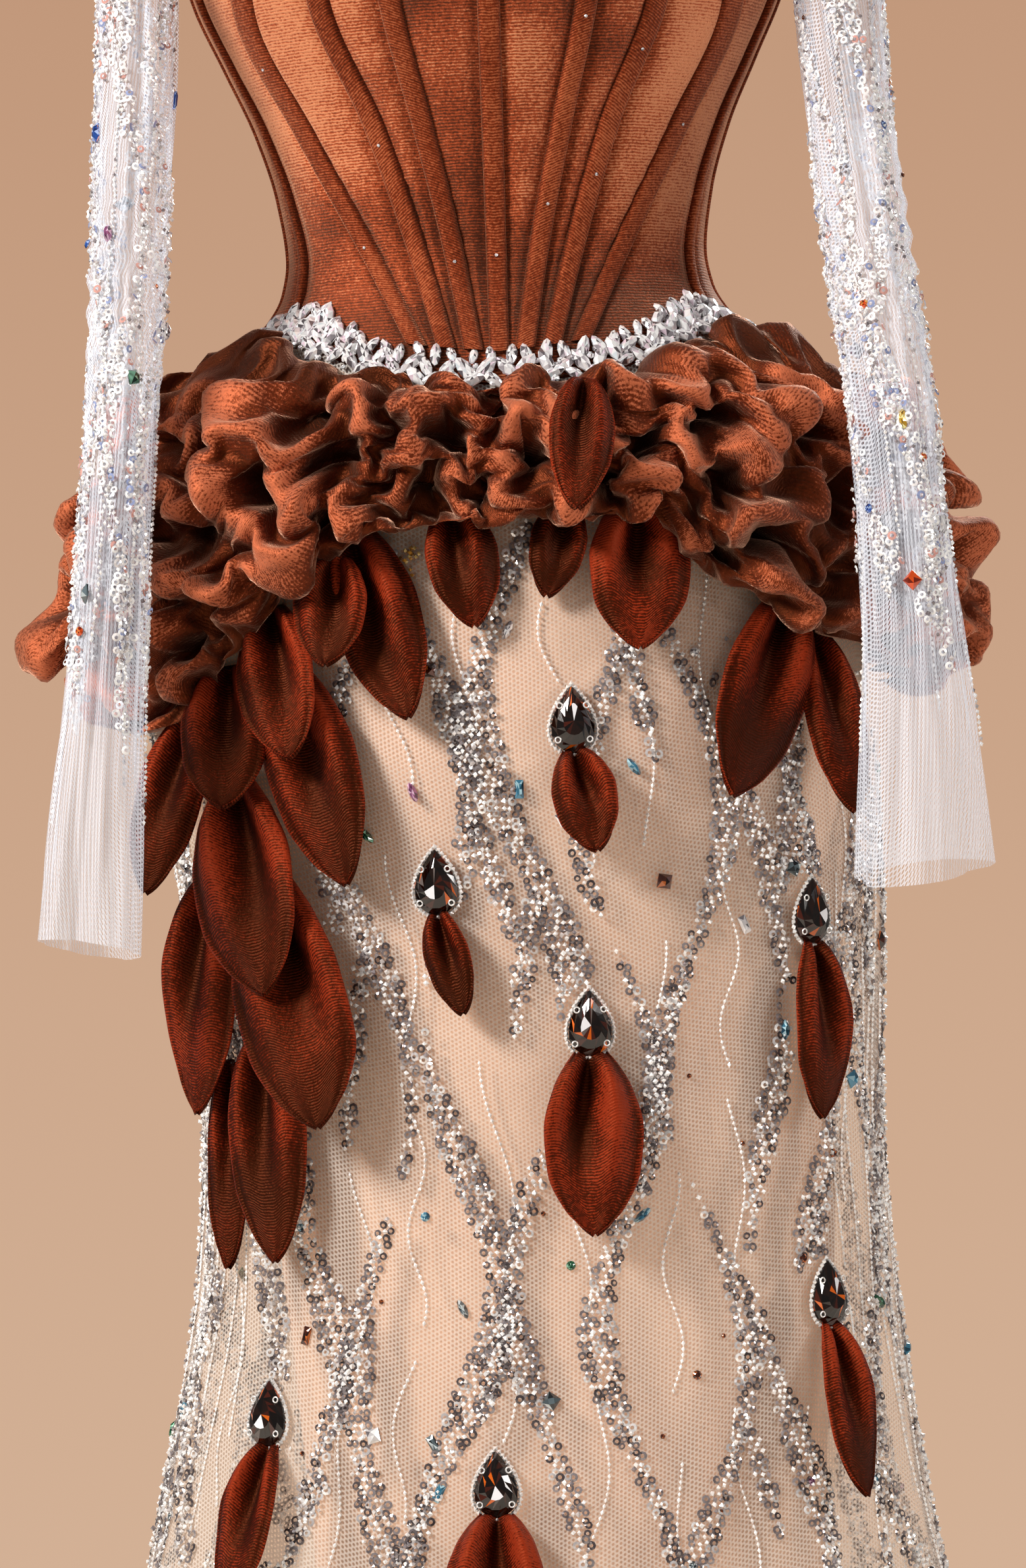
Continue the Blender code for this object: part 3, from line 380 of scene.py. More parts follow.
def scatter(shape, faces, places, axes, sizes):
    """Copies of a small shape. Each point is scaled, turned by its copy's directions, and put in its place."""
    sizes = np.broadcast_to(np.asarray(sizes, float), (3, len(places))).T if np.ndim(sizes) < 2 else sizes
    points = places[:, None] + np.einsum("npk,nkd->npd", shape[None] * sizes[:, None], axes)
    index = faces[None] + (np.arange(len(places)) * len(shape))[:, None, None]
    return points.reshape(-1, 3), index.reshape(-1, faces.shape[1])


def merged(parts):
    """One mesh from (points, faces, …) of several: faces count on from the parts before."""
    starts = np.cumsum([0] + [len(part[0]) for part in parts[:-1]])
    faces = np.concatenate([part[1] + start for part, start in zip(parts, starts)])
    return np.concatenate([part[0] for part in parts]), faces


# %% [markdown]
# ## Floor
#
# The floor is a pale disc that ends before it comes into the close-up.

# %% Floor
FLOOR_RADIUS, FLOOR_DROP, FLOOR_RINGS, FLOOR_SIDES = 1.9, 0.002, 8, 128
around = np.linspace(0, 2 * np.pi, FLOOR_SIDES, endpoint=False)
rings = np.linspace(0.02, 1, FLOOR_RINGS)[:, None] * FLOOR_RADIUS
level = np.full((FLOOR_RINGS, FLOOR_SIDES), FLOOR_LEVEL - FLOOR_DROP)
floor_points = np.stack([rings * np.cos(around), rings * np.sin(around), level], -1)
floor_faces = grid_faces(FLOOR_RINGS, FLOOR_SIDES, ring=True).tolist() + [tuple(range(FLOOR_SIDES))]
floor_mesh = bpy.data.meshes.new("floor")
floor_mesh.from_pydata(floor_points.reshape(-1, 3).tolist(), [], floor_faces)
floor_mesh.materials.append(new_material("painted_studio_floor", Base_Color=colour("#e6dccf"), Roughness=0.8)[0])
add_object("floor", floor_mesh)
print("floor:", FLOOR_RADIUS * 2, "m wide")

# %% [markdown]
# ## Velvet
#
# The velvet is a knitted stretch velvet in rust brown. Its pile stands up, so it is dark when looked at straight on
# and bright along every turned edge: that is the shader's sheen. The pile has three tones: nearly black, which is
# painted shade deep in a fold, rust where it stands, and tan, which is a painted highlight on ridges and edges and
# also the light specks of the nap. It is crushed in patches a few centimetres wide, and the knit shows as fine ribs
# across the cloth.

# %% Velvet
def velvet(name, tones, sheen, spread, ribs, depth, shine, patches, swing):
    """Velvet: colour from painted light, crushed patches and nap, bump from nap and ribs. ribs is "UV" or "Object".

    tones are the pile's colours: near black for painted shade in a fold, standing, and tan for painted highlights.
    depth is how strong the ribs are.
    spread is how wide the sheen reaches from the edges. shine is the index of refraction: above glass, because the
    pile's sides throw back more than a smooth film. patches is how many crushed patches a metre has, and swing how
    much they change the tone. The tone is picked by the painted light, plus the patches, plus the nap and ribs.
    """
    material, tree, shader = new_material(
        name, Roughness=0.51, IOR=shine, Specular_IOR_Level=0.5, Specular_Tint=colour("#ff8048"), Sheen_Weight=1.0,
        Sheen_Roughness=spread, Sheen_Tint=colour(sheen),
    )
    coordinates = node(tree, "ShaderNodeTexCoord").outputs
    crush = node(tree, "ShaderNodeTexNoise", {"Vector": coordinates["Object"], "Scale": patches, "Detail": 4})
    nap = node(tree, "ShaderNodeTexNoise", {"Vector": coordinates["Object"], "Scale": 600, "Roughness": 0.8})
    worn = node(tree, "ShaderNodeAttribute", attribute_name="worn")
    # The knit's ribs are 0.7 mm apart, too fine for the render, so they are drawn 1.5 mm apart.
    rib = node(
        tree, "ShaderNodeTexWave", {"Vector": coordinates[ribs], "Scale": 208, "Distortion": 2.5, "Detail": 2.0},
        bands_direction="Z" if ribs == "Object" else "Y",
    )
    fine = scaled(tree, rib.outputs["Fac"], depth, nap.outputs["Fac"])
    drift = scaled(tree, crush.outputs["Fac"], swing, -swing / 2 - 0.41)
    # The point's painted light moves the tone: towards near black as painted shade in folds, towards tan as painted
    # highlight on ridges and edges.
    lie = scaled(tree, worn.outputs["Fac"], 0.7, drift)
    tone = ramp(tree, scaled(tree, fine, 1.15, lie), tuple(zip((0.34, 0.78, 1.0), tones)))
    bump = node(tree, "ShaderNodeBump", {"Height": fine, "Strength": 0.65, "Distance": 0.0008})
    plug(shader, {"Base Color": tone, "Normal": bump.outputs["Normal"]})
    return material


# tones: near black used as painted shade, the pile's own rust, and tan used as painted highlight and for the nap's
# light specks.
VELVETS = (  # name, tones, sheen and its spread, the ribs' coordinates and depth, shine, patches, swing
    ("rust_stretch_velvet", ("#2c0a04", "#943d1e", "#c47e58"), "#ffc8a4", 0.46, "Object", 0.30, 1.55, 17, 1.35),
    ("rust_velvet_binding", ("#220703", "#6c2711", "#9c5434"), "#ffb890", 0.38, "UV", 0.30, 1.55, 13, 0.9),
    ("rust_velvet_gathered", ("#080201", "#471406", "#ac5e40"), "#ffc4a4", 0.33, "UV", 0.16, 1.85, 16, 1.2),
    ("rust_velvet_double_faced", ("#0a0100", "#3c0a03", "#822812"), "#5e1e10", 0.26, "UV", 0.34, 1.5, 26, 1.4),
)
CORSET_VELVET, STRIP_VELVET, RUFFLE_VELVET, LEAF_VELVET = (velvet(*row) for row in VELVETS)
print("velvets:", len(VELVETS))

# %% [markdown]
# ## Corset panels
#
# The corset is five panels of velvet over boning: a front, two sides and two backs, which meet in a plain
# seam. Each is a grid between its first and its last seam line. A seam line that follows a boning strip is
# known by its distance from the centre, so its angle and its height are worked out together in a few rounds.
# The cloth swells a little between the strips, where it is only held at the seams.

# %% Corset panels
STRIP_HEIGHTS = (-0.060, 0.000, 0.060, 0.120, 0.218)
STRIPS = (  # distance from the centre line at those heights
    ("1", (0.0120, 0.0220, 0.0350, 0.0490, 0.0600)),
    ("2", (0.0245, 0.0400, 0.0590, 0.0840, 0.0980)),
    ("3", (0.0370, 0.0640, 0.0940, 0.1220, 0.1330)),
)
CENTRE_STRIP = (0.0,) * 5
STRIP_FOOT, STRIP_TOP, SIDE_STRIP = 0.0098, 0.0125, 0.0075  # widths at the corset's hem, at its top, and at the sides
SIDE_STRIP_ANGLES = (61.0, 68.0, 75.0, 79.0, 79.0)
PANEL_ROWS, VELVET_WALL = 84, 0.0016


def corset_height(angle, up):
    """Height at a share of the way up from the corset's hem to its top."""
    return hem_line(angle) * (1 - up) + top_line(angle) * up


def strip_line(reach, shift, up):
    """Angles of a line at a strip's distance from the centre, plus a share of its width, on rows of the corset."""
    angle = np.zeros_like(up)
    for _ in range(12):
        z = corset_height(angle, up)
        x = smooth(z, STRIP_HEIGHTS, reach) + shift * (STRIP_FOOT + (STRIP_TOP - STRIP_FOOT) * up)
        angle = np.degrees(np.arcsin(np.clip(x / half_width(z), -0.999, 0.999)))
    return angle


def side_line(up, shift=0.0):
    """Angles of the strip in front of the side seam."""
    z = -0.045 + (CORSET_TOP + 0.045) * up
    return smooth(z, STRIP_HEIGHTS, SIDE_STRIP_ANGLES) + np.degrees(shift / half_width(z))


up = np.linspace(1, 0, PANEL_ROWS)
seam_front = strip_line(STRIPS[2][1], 0.0, up)
bones = [strip_line(reach, 0.0, up) for _, reach in STRIPS]
bones = np.array([-bone for bone in bones[::-1]] + [np.zeros_like(up)] + bones + [side_line(up), -side_line(up)])
PANELS = (
    ("bodice_front", -seam_front, seam_front, 221),
    ("bodice_side_right", seam_front, np.full_like(up, 90), 71),
    ("bodice_side_left", np.full_like(up, -90), -seam_front, 71),
    ("bodice_back_right", np.full_like(up, 90), np.full_like(up, 180), 61),
    ("bodice_back_left", np.full_like(up, -180), np.full_like(up, -90), 61),
)


def panel_points(first, last, columns):
    """Grid between two seam lines, swollen between bones, with short creases where the waist is pulled tight."""
    angle = first[:, None] + (last - first)[:, None] * np.linspace(0, 1, columns)
    z = corset_height(angle, up[:, None])
    reach = np.abs(np.radians(angle[..., None] - bones.T[:, None])).min(-1) * half_width(z)
    swell = 0.0020 * (1 - hill(np.clip(reach - 0.0052, 0, 1), 0, 0.0045))
    x = half_width(z) * np.sin(np.radians(angle))
    place = np.exp(-(((x + 0.046) / 0.011) ** 2) - ((z - 0.014) / 0.026) ** 2)
    crease = -0.0011 * place * (0.5 + 0.5 * np.sin(z * 2 * np.pi / 0.0085 + 40 * x)) ** 2
    pull = 0.0004 * hill(z, 0, 0.05) * np.sin(z * 2 * np.pi / 0.013 + 22 * x + 3 * np.sin(60 * x))
    ends = np.clip(np.minimum(up, 1 - up) * 12, 0, 1)[:, None]
    # Painted light: lighter upwards and lighter still at the sides above the waist, as painted sheen and key light,
    # and a painted shadow in a narrow band beside each strip.
    side, high = np.clip((np.abs(x) - 0.04) / 0.06, 0, 1), np.clip((z + 0.04) / 0.11, 0, 1)
    worn = 0.32 + 0.12 * high + 0.46 * side * high - 0.20 * hill(reach, 0.006, 0.004)
    return body(angle, z, (swell + crease + pull * (np.abs(angle) < 60)) * ends), worn


for name, first, last, columns in PANELS:
    points, worn = panel_points(first, last, columns)
    add_sheet(
        "velvet_" + name, CORSET_VELVET, "velvet", name, points, "stretched", wall=VELVET_WALL, worn=worn)

# %% [markdown]
# ## Boning strips
#
# A strip of velvet is sewn over each bone. Its two edges are turned under, so its cross-section is a low
# rounded ridge that meets the panel at both edges. The profile is one less the fourth power of the distance
# from the middle, carried up the strip's line.

# %% Boning strips
STRIP_RISE = 0.0038
strip_up = np.linspace(1, TRIM_HEIGHT / 0.29, 96)
across = np.sin(np.linspace(-1, 1, 17) * np.pi / 2)
profile = STRIP_RISE * (1 - across**4) ** 0.6 - 0.0006


def add_strip(name, first, last):
    """A ridge between two edge lines on the corset."""
    share = (across + 1) / 2
    angle = first[:, None] * (1 - share) + last[:, None] * share
    points = body(angle, corset_height(angle, strip_up[:, None]), profile + 0.0004)
    # Painted shade: the strip's colour darkens towards both turned-under edges.
    strip = add_cloth("boning_strip_" + name, points, STRIP_VELVET, worn=0.62 - 0.62 * across**6)
    fit(strip, "velvet_strip", "channel_" + name)


half = np.degrees(SIDE_STRIP / 2 / half_width(corset_height(90, strip_up)))
edges = {number: [strip_line(reach, shift, strip_up) for shift in (-0.5, 0.5)] for number, reach in STRIPS}
edges["4"] = [side_line(strip_up, shift * SIDE_STRIP) for shift in (-0.5, 0.5)]
edges["5"] = [90 - half, 90 + half]
for number, (inner, outer) in edges.items():
    add_strip("right_" + number, inner, outer)
    add_strip("left_" + number, -outer, -inner)
centre = strip_line(CENTRE_STRIP, 0.5, strip_up)
add_strip("centre", -centre, centre)
add_strip("back", 180 - half * 0.7, 180 + half * 0.7)
print("boning strips:", 2 * len(edges) + 2)

# %% [markdown]
# ## Net, tulle and lining
#
# The skirt is a fine hexagonal net, and the sleeves are a whiter tulle of the same kind. The net's threads are
# drawn, in metres along the cloth: three waves, a sixth of a turn apart, add up to peaks in a honeycomb, and
# each peak is a hole. A hole is nearly clear, so the nude lining shows through above the knee and the backdrop
# below it. The lining is a plain stretch mesh.

# %% Net materials
def net(name, thread, pitch, clear, veil):
    """Net with holes a pitch apart. clear is how far a hole covers what is behind it, and veil how far a thread."""
    material, tree, shader = new_material(name, Base_Color=colour(thread), Roughness=0.55, Specular_IOR_Level=0.35)
    flat = node(tree, "ShaderNodeTexCoord").outputs["UV"]
    waves_to_metre = 4 * math.pi / (math.sqrt(3) * pitch)
    total = 0.0
    for turn in (0, math.pi / 3, 2 * math.pi / 3):
        along = Vector((math.cos(turn), math.sin(turn), 0)) * waves_to_metre
        phase = node(tree, "ShaderNodeVectorMath", {0: flat, 1: along}, operation="DOT_PRODUCT")
        wave = node(tree, "ShaderNodeMath", {0: phase.outputs["Value"]}, operation="COSINE")
        total = node(tree, "ShaderNodeMath", {0: wave.outputs[0], 1: total}).outputs[0]
    cover = node(tree, "ShaderNodeMapRange", {
        "Value": total, "From Min": -0.3, "From Max": 0.7, "To Min": veil, "To Max": clear})
    plug(shader, {"Alpha": cover.outputs["Result"]})
    return material


HOLE_PITCH = 0.0023  # the real nets' holes are 1.7 mm apart; they are drawn coarser, so that they show in the render
SKIRT_NET = net("white_hexagonal_net", "#f2e8de", HOLE_PITCH, 0.08, 0.40)
SLEEVE_TULLE = net("white_sleeve_tulle", "#e6ebf6", HOLE_PITCH, 0.05, 0.52)

NUDE, tree, shader = new_material(
    "nude_stretch_mesh", Roughness=0.62, Specular_IOR_Level=0.3, Sheen_Weight=0.25, Sheen_Roughness=0.5)
flat = node(tree, "ShaderNodeTexCoord").outputs["UV"]
cloud = node(tree, "ShaderNodeTexNoise", {"Vector": flat, "Scale": 9, "Detail": 3})
weave = node(tree, "ShaderNodeTexVoronoi", {"Vector": flat, "Scale": 620})
mixed = scaled(tree, weave.outputs["Distance"], 0.10, cloud.outputs["Fac"])
bump = node(tree, "ShaderNodeBump", {"Height": weave.outputs["Distance"], "Strength": 0.3, "Distance": 0.0004})
nude = ramp(tree, mixed, ((0.35, "#cc9f80"), (0.75, "#dfb799")))
plug(shader, {"Base Color": nude, "Normal": bump.outputs["Normal"]})
print("nets made")

# %% [markdown]
# ## Skirt and lining
#
# The net skirt is cut in a front and a back with seams at the sides. It is snug over the hips and flares from
# the knee in ten soft waves. Shallow lengthwise ripples grow towards the hem, as net has between its seams.
# The lining is a slim tube that hangs free inside it down to the knee.

# %% Skirt and lining
SKIRT_ROWS, SKIRT_COLUMNS = 170, 240
NET_DROP, LINING_DROP, NET_RIPPLE = 0.0021, 0.0061, 0.0009  # net and lining start this far below the corset's hem


def skirt_points(angles, rows):
    """Grid from the corset's hem to the floor: the form, plus ripples that grow with the way down."""
    down = np.linspace(0, 1, rows)[:, None]
    z = (hem_line(angles) - NET_DROP) * (1 - down) + SKIRT_HEM * down
    turn = np.radians(angles)
    ripple = np.sin(23 * turn + 5 * z + 1.3) + 0.6 * np.sin(37 * turn - 7 * z)
    return body(angles, z, NET_RIPPLE * ripple * np.clip((-0.30 - z) / 0.35, 0, 1) - 0.0004)


whole_skirt = skirt_points(all_round(SKIRT_COLUMNS), SKIRT_ROWS)
for name, first in (("skirt_front", -90), ("skirt_back", 90)):
    points = skirt_points(np.linspace(first, first + 180, SKIRT_COLUMNS // 2 + 1), SKIRT_ROWS)
    add_sheet("net_" + name, SKIRT_NET, "net", name, points, "hung")

LINING_OVALS = (  # height, half width, depth to the front, depth to the back, shift to the right
    (-0.820, 0.128, 0.090, 0.094, 0.014), (-0.680, 0.131, 0.098, 0.098, 0.016),
    (-0.540, 0.140, 0.098, 0.099, 0.016), (-0.400, 0.152, 0.105, 0.104, 0.012),
    (-0.330, 0.162, 0.111, 0.114, 0.008),
)
LINING_END = -0.750


def lining_points(angles, rows):
    """Grid of the lining: inside the net down to the full hips, then blended into slimmer ovals."""
    down = np.linspace(0, 1, rows)[:, None]
    z = (hem_line(angles) - LINING_DROP) * (1 - down) + LINING_END * down
    snug = body(angles, z, -0.0014 - 0.0035 * np.clip((z + 0.160) / 0.040, 0, 1))
    half, front, back, shift = (look_up(LINING_OVALS, z, i) for i in (1, 2, 3, 4))
    sine, cosine = np.sin(np.radians(angles)), np.cos(np.radians(angles))
    soft = 0.0012 * np.sin(np.radians(angles) * 9 + 9 * z) * np.clip((-0.30 - z) / 0.2, 0, 1)
    depth = np.where(cosine > 0, front, back) + soft
    oval = np.stack([shift + (half + soft) * sine, -depth * cosine, z], axis=-1)
    share = np.clip((-0.260 - z) / 0.070, 0, 1)[..., None]
    return snug * (1 - share) + oval * share


points = lining_points(all_round(160), 90)
add_sheet("nude_lining", NUDE, "nude_lining", "lining", points, "hung", ring=True, wall=0.0008)

# %% [markdown]
# ## Yoke
#
# A sheer yoke carries the sleeves. Each half is a patch between four edges: the corset's top, two armholes,
# and a line along shoulder, neck and shoulder. The patch adds the two straight blends between opposite edges
# and takes away the blend of the four corners.

# %% Yoke
SHOULDER, NECK = np.array((0.182, 0.004, 0.388)), np.array((0.074, 0.014, 0.412))
UNDERARM = 122.0
FRONT_EDGE = float(strip_line(STRIPS[2][1], 0.0, np.ones(1))[0])
LEFTWARDS = np.array((-1, 1, 1))
ON_CORSET = (0, 0, 0.0004)  # the yoke stands this little above the corset's top
YOKES = {  # neckline's centre, shoulder seam's side, bow of the armhole, shoulder's share of the upper edge
    "front": ((0.0, -0.064, 0.336), -0.0004, (-0.014, -0.026, 0.0), 4 / 19),
    "back": ((0.0, 0.066, 0.396), 0.0004, (-0.010, 0.026, 0.004), 4 / 16),
}


def bowed(start, end, bow, t):
    """Points from start to end on a parabola that bows out by a vector in its middle."""
    t = np.asarray(t)[..., None]
    return np.asarray(start) * (1 - t) + np.asarray(end) * t + 4 * t * (1 - t) * np.asarray(bow)


def corset_corner(side):
    """Where the right armhole meets the corset's top, in front or behind."""
    angle = FRONT_EDGE if side == "front" else UNDERARM
    return body(angle, top_line(angle)) + ON_CORSET


def armhole_edge(side, v):
    """The right armhole's edge, from the corset at 0 to the shoulder at 1."""
    return bowed(corset_corner(side), SHOULDER + (0, YOKES[side][1], 0), YOKES[side][2], v)


def yoke_points(side, rows, columns):
    """Patch between the corset's top, the armholes, and the shoulders and neckline."""
    neckline, seam, _, share = YOKES[side]
    u, v = np.linspace(0, 1, columns), np.linspace(0, 1, rows)
    angle = FRONT_EDGE * (2 * u - 1) if side == "front" else 180 + (180 - UNDERARM) * (1 - 2 * u)
    low = body(angle, top_line(angle)) + ON_CORSET
    shoulder, neck = SHOULDER + (0, seam, 0), NECK + (0, seam, 0)
    from_side = np.clip(np.minimum(u, 1 - u) / share, 0, 1)
    slope = bowed(shoulder, neck, (0, 0, -0.002), from_side)
    slope[u < 0.5] *= LEFTWARDS
    t = np.clip((2 * u - 1) / (1 - 2 * share), -1, 1)
    sag = np.cos(t * np.pi / 2)
    scoop = np.stack([neck[0] * np.sin(t * np.pi / 2), neck[1] + (neckline[1] - neck[1]) * sag,
                      neck[2] + (neckline[2] - neck[2]) * sag], axis=1)
    high = np.where((from_side < 1)[:, None], slope, scoop)
    right = armhole_edge(side, v)
    left = right * LEFTWARDS
    u, v = u[None, :, None], v[:, None, None]
    corners = (low[0] * (1 - u) + low[-1] * u) * (1 - v) + (high[0] * (1 - u) + high[-1] * u) * v
    patch = left[:, None] * (1 - u) + right[:, None] * u + low[None] * (1 - v) + high[None] * v - corners
    return patch[::-1] if side == "front" else patch[::-1, ::-1]


for side in YOKES:
    points = yoke_points(side, 36, 97)
    add_sheet(f"tulle_yoke_{side}", SLEEVE_TULLE, "sleeve_net", f"yoke_{side}", points, "stretched")

# %% [markdown]
# ## Sleeves
#
# Each sleeve is a long narrow tube of tulle. Its cap is a curve from the armhole to the first level ring, and
# from there level ovals follow a table down to the open end, which is cut raw. Tulle this light wrinkles along
# its length, creases across at the elbow, and opens in a few soft lobes at the end.

# %% Sleeves
SLEEVE_TABLES = {  # height, distance from the centre, place front to back, half width, half depth
    "left": (
        (0.190, 0.187, -0.010, 0.022, 0.056), (0.139, 0.179, -0.028, 0.020, 0.048),
        (0.060, 0.181, -0.056, 0.019, 0.040), (-0.030, 0.185, -0.098, 0.018, 0.032),
        (-0.106, 0.189, -0.126, 0.017, 0.026), (-0.180, 0.195, -0.134, 0.018, 0.025),
        (-0.260, 0.203, -0.134, 0.021, 0.025), (-0.347, 0.210, -0.128, 0.025, 0.026),
    ),
    "right": (
        (0.190, 0.187, -0.010, 0.022, 0.056), (0.139, 0.178, -0.028, 0.022, 0.048),
        (0.060, 0.181, -0.056, 0.021, 0.040), (-0.030, 0.187, -0.098, 0.021, 0.033),
        (-0.106, 0.193, -0.126, 0.021, 0.028), (-0.180, 0.197, -0.134, 0.023, 0.028),
        (-0.250, 0.199, -0.134, 0.028, 0.028), (-0.322, 0.199, -0.130, 0.033, 0.030),
    ),
}
SLEEVE_COLUMNS, CAP_ROWS, ARM_ROWS = 112, 18, 150


def armhole_loop(count):
    """Closed loop round the right armhole: down the front edge, under the arm, up the back edge."""
    t = np.arange(count) * 14 / count
    front = armhole_edge("front", np.clip(1 - t / 4, 0, 1)) + (0.0008, 0, 0)
    angle = FRONT_EDGE + (UNDERARM - FRONT_EDGE) * np.clip((t - 4) / 6, 0, 1)
    under = body(angle, top_line(angle)) + (0, 0, 0.0008)
    back = armhole_edge("back", np.clip((t - 10) / 4, 0, 1)) + (0.0008, 0, 0)
    return np.where((t < 4)[:, None], front, np.where((t < 10)[:, None], under, back))


def sleeve_points(hand):
    """Grid of a sleeve: curves for the cap, then ovals, pushed in and out by the wrinkles."""
    table = SLEEVE_TABLES[hand]
    z = np.linspace(table[0][0], table[-1][0], ARM_ROWS)[:, None]
    x, y, half, depth = (smooth(-z, [-row[0] for row in table], column(table, i)) for i in (1, 2, 3, 4))
    turn = np.arange(SLEEVE_COLUMNS)[None] * 2 * np.pi / SLEEVE_COLUMNS
    start = 0.0 if hand == "left" else 1.7
    drift = 2.2 * np.sin(z * 9 + start)
    wrinkle = (
        0.0011 * np.sin(9 * turn + drift + start) + 0.0009 * np.sin(14 * turn - 1.6 * drift)
        + 0.0006 * np.sin(23 * turn + 2.3 * drift + 1)
    )
    elbow = hill(z, -0.020, 0.055)
    crease = 0.0013 * elbow * np.sin(z * 2 * np.pi / 0.017 + 2.4 * np.sin(turn + start) + 1.5 * np.sin(3 * turn))
    opening = np.clip((table[-1][0] + 0.110 - z) / 0.110, 0, 1)
    lobes = 0.0034 * opening * (np.sin(3 * turn + 0.6 + start) + 0.6 * np.sin(5 * turn + 2 * start + 6 * z))
    out = (wrinkle * (1 - 0.5 * opening) + crease) * np.clip((table[0][0] - z) / 0.05, 0, 1) + lobes - 0.0006
    end = table[-1][0] + 0.006 * np.sin(turn + 0.8 + start) * opening
    level = z + (end - table[-1][0]) * opening
    arm = np.stack([x + (half + out) * np.cos(turn), y - (depth + out) * np.sin(turn), level], axis=-1)
    loop, first = armhole_loop(SLEEVE_COLUMNS), arm[0]
    control = np.stack([first[:, 0], (first[:, 1] + loop[:, 1]) / 2, loop[:, 2] + 0.008], axis=1)
    t = np.linspace(0, 1, CAP_ROWS, endpoint=False)[:, None, None]
    cap = (1 - t) ** 2 * loop + 2 * t * (1 - t) * control + t * t * first
    points = np.concatenate([cap, arm])
    return points[:, ::-1] if hand == "right" else points * LEFTWARDS


sleeves = {hand: sleeve_points(hand) for hand in SLEEVE_TABLES}
for hand, points in sleeves.items():
    add_sheet(f"tulle_sleeve_{hand}", SLEEVE_TULLE, "sleeve_net", f"sleeve_{hand}", points, "hung", ring=True)

# %% [markdown]
# ## Gathered peplum
#
# The peplum is one long strip of velvet, more than twice as long as the hips are round. It is gathered between its
# two edges and caught down to the net with hidden tacks, and between the tacks it stands up in deep crossing
# folds. Folds like these are hard to draw and easy to grow: a plain band of cloth is pinned at both edges and at
# its tacks, and then told that it is twice its size, so it has to buckle. The form under it keeps it off the body,
# and a light pressure keeps it full.

# %% Peplum
PEPLUM = (  # angle, height of the lower edge, how far it stands off the skirt
    (-180, -0.205, 0.036), (-120, -0.215, 0.036), (-90, -0.222, 0.027), (-62, -0.246, 0.030),
    (-42, -0.208, 0.032), (-30, -0.174, 0.032), (-18, -0.152, 0.030), (0, -0.146, 0.026),
    (20, -0.146, 0.027), (29, -0.172, 0.033), (43, -0.196, 0.036), (60, -0.214, 0.038),
    (90, -0.230, 0.042), (120, -0.218, 0.042), (180, -0.205, 0.036),
)
PEPLUM_COLUMNS, PEPLUM_ROWS, PEPLUM_FRAMES = 280, 38, 36
TACK_ROWS = ((0.27, 0.0), (0.53, 0.5), (0.78, 0.1))
TACKS_ROUND, TACK_RADIUS, HELD_OUT = 26, 0.009, 0.006
EXTRA_CLOTH = 1.0  # how much longer the cloth grows than the band
METRES_TO_A_DEGREE = 1.15 / 360  # round the hips

rng = np.random.default_rng(7)
angles = all_round(PEPLUM_COLUMNS)
down = np.linspace(0, 1, PEPLUM_ROWS)[:, None]
low, stand = look_up(PEPLUM, angles), look_up(PEPLUM, angles, 2)
top = hem_line(angles) - 0.0040 + 0.0016 * np.sin(np.radians(angles * 13)) + 0.0012 * np.sin(np.radians(angles * 29))
z = top + (low + 0.005 - top) * down
out = HELD_OUT + stand * 0.64 * np.sin(np.pi * down**0.72).clip(0, 1) ** 0.8 + 0.012 * np.clip(2 * down - 1, 0, 1)
out = out + 0.015 * np.exp(-(((angles + 88) / 7) ** 2) - ((z + 0.178) / 0.020) ** 2)

tacks = np.concatenate([
    np.stack([
        (np.arange(TACKS_ROUND) + shift + rng.uniform(-0.3, 0.3, TACKS_ROUND)) / TACKS_ROUND * 360 - 180,
        level + rng.uniform(-0.08, 0.08, TACKS_ROUND),
    ], axis=1)
    for level, shift in TACK_ROWS
])
away = (angles[None, None] - tacks[:, :1, None] + 180) % 360 - 180
gap = np.hypot(away * METRES_TO_A_DEGREE, (down[None] - tacks[:, 1:, None]) * (top - low))
dip = np.exp(-((gap.min(0) / TACK_RADIUS) ** 2))
pinned = np.zeros(z.shape, bool)
pinned.ravel()[gap.reshape(len(tacks), -1).argmin(1)] = True
pinned[[0, -1]] = True
noise = rng.standard_normal(z.shape)
for _ in range(3):
    noise = (noise + np.roll(noise, 1, 1) + np.roll(noise, -1, 1)) / 3
    noise[1:-1] = (noise[:-2] + noise[1:-1] + noise[2:]) / 3
out = out * (1 - dip) + HELD_OUT * dip + 0.004 * noise / noise.std()
peplum_points = body(angles, z, out)
peplum = add_cloth("gathered_velvet_peplum", peplum_points, RUFFLE_VELVET, ring=True)


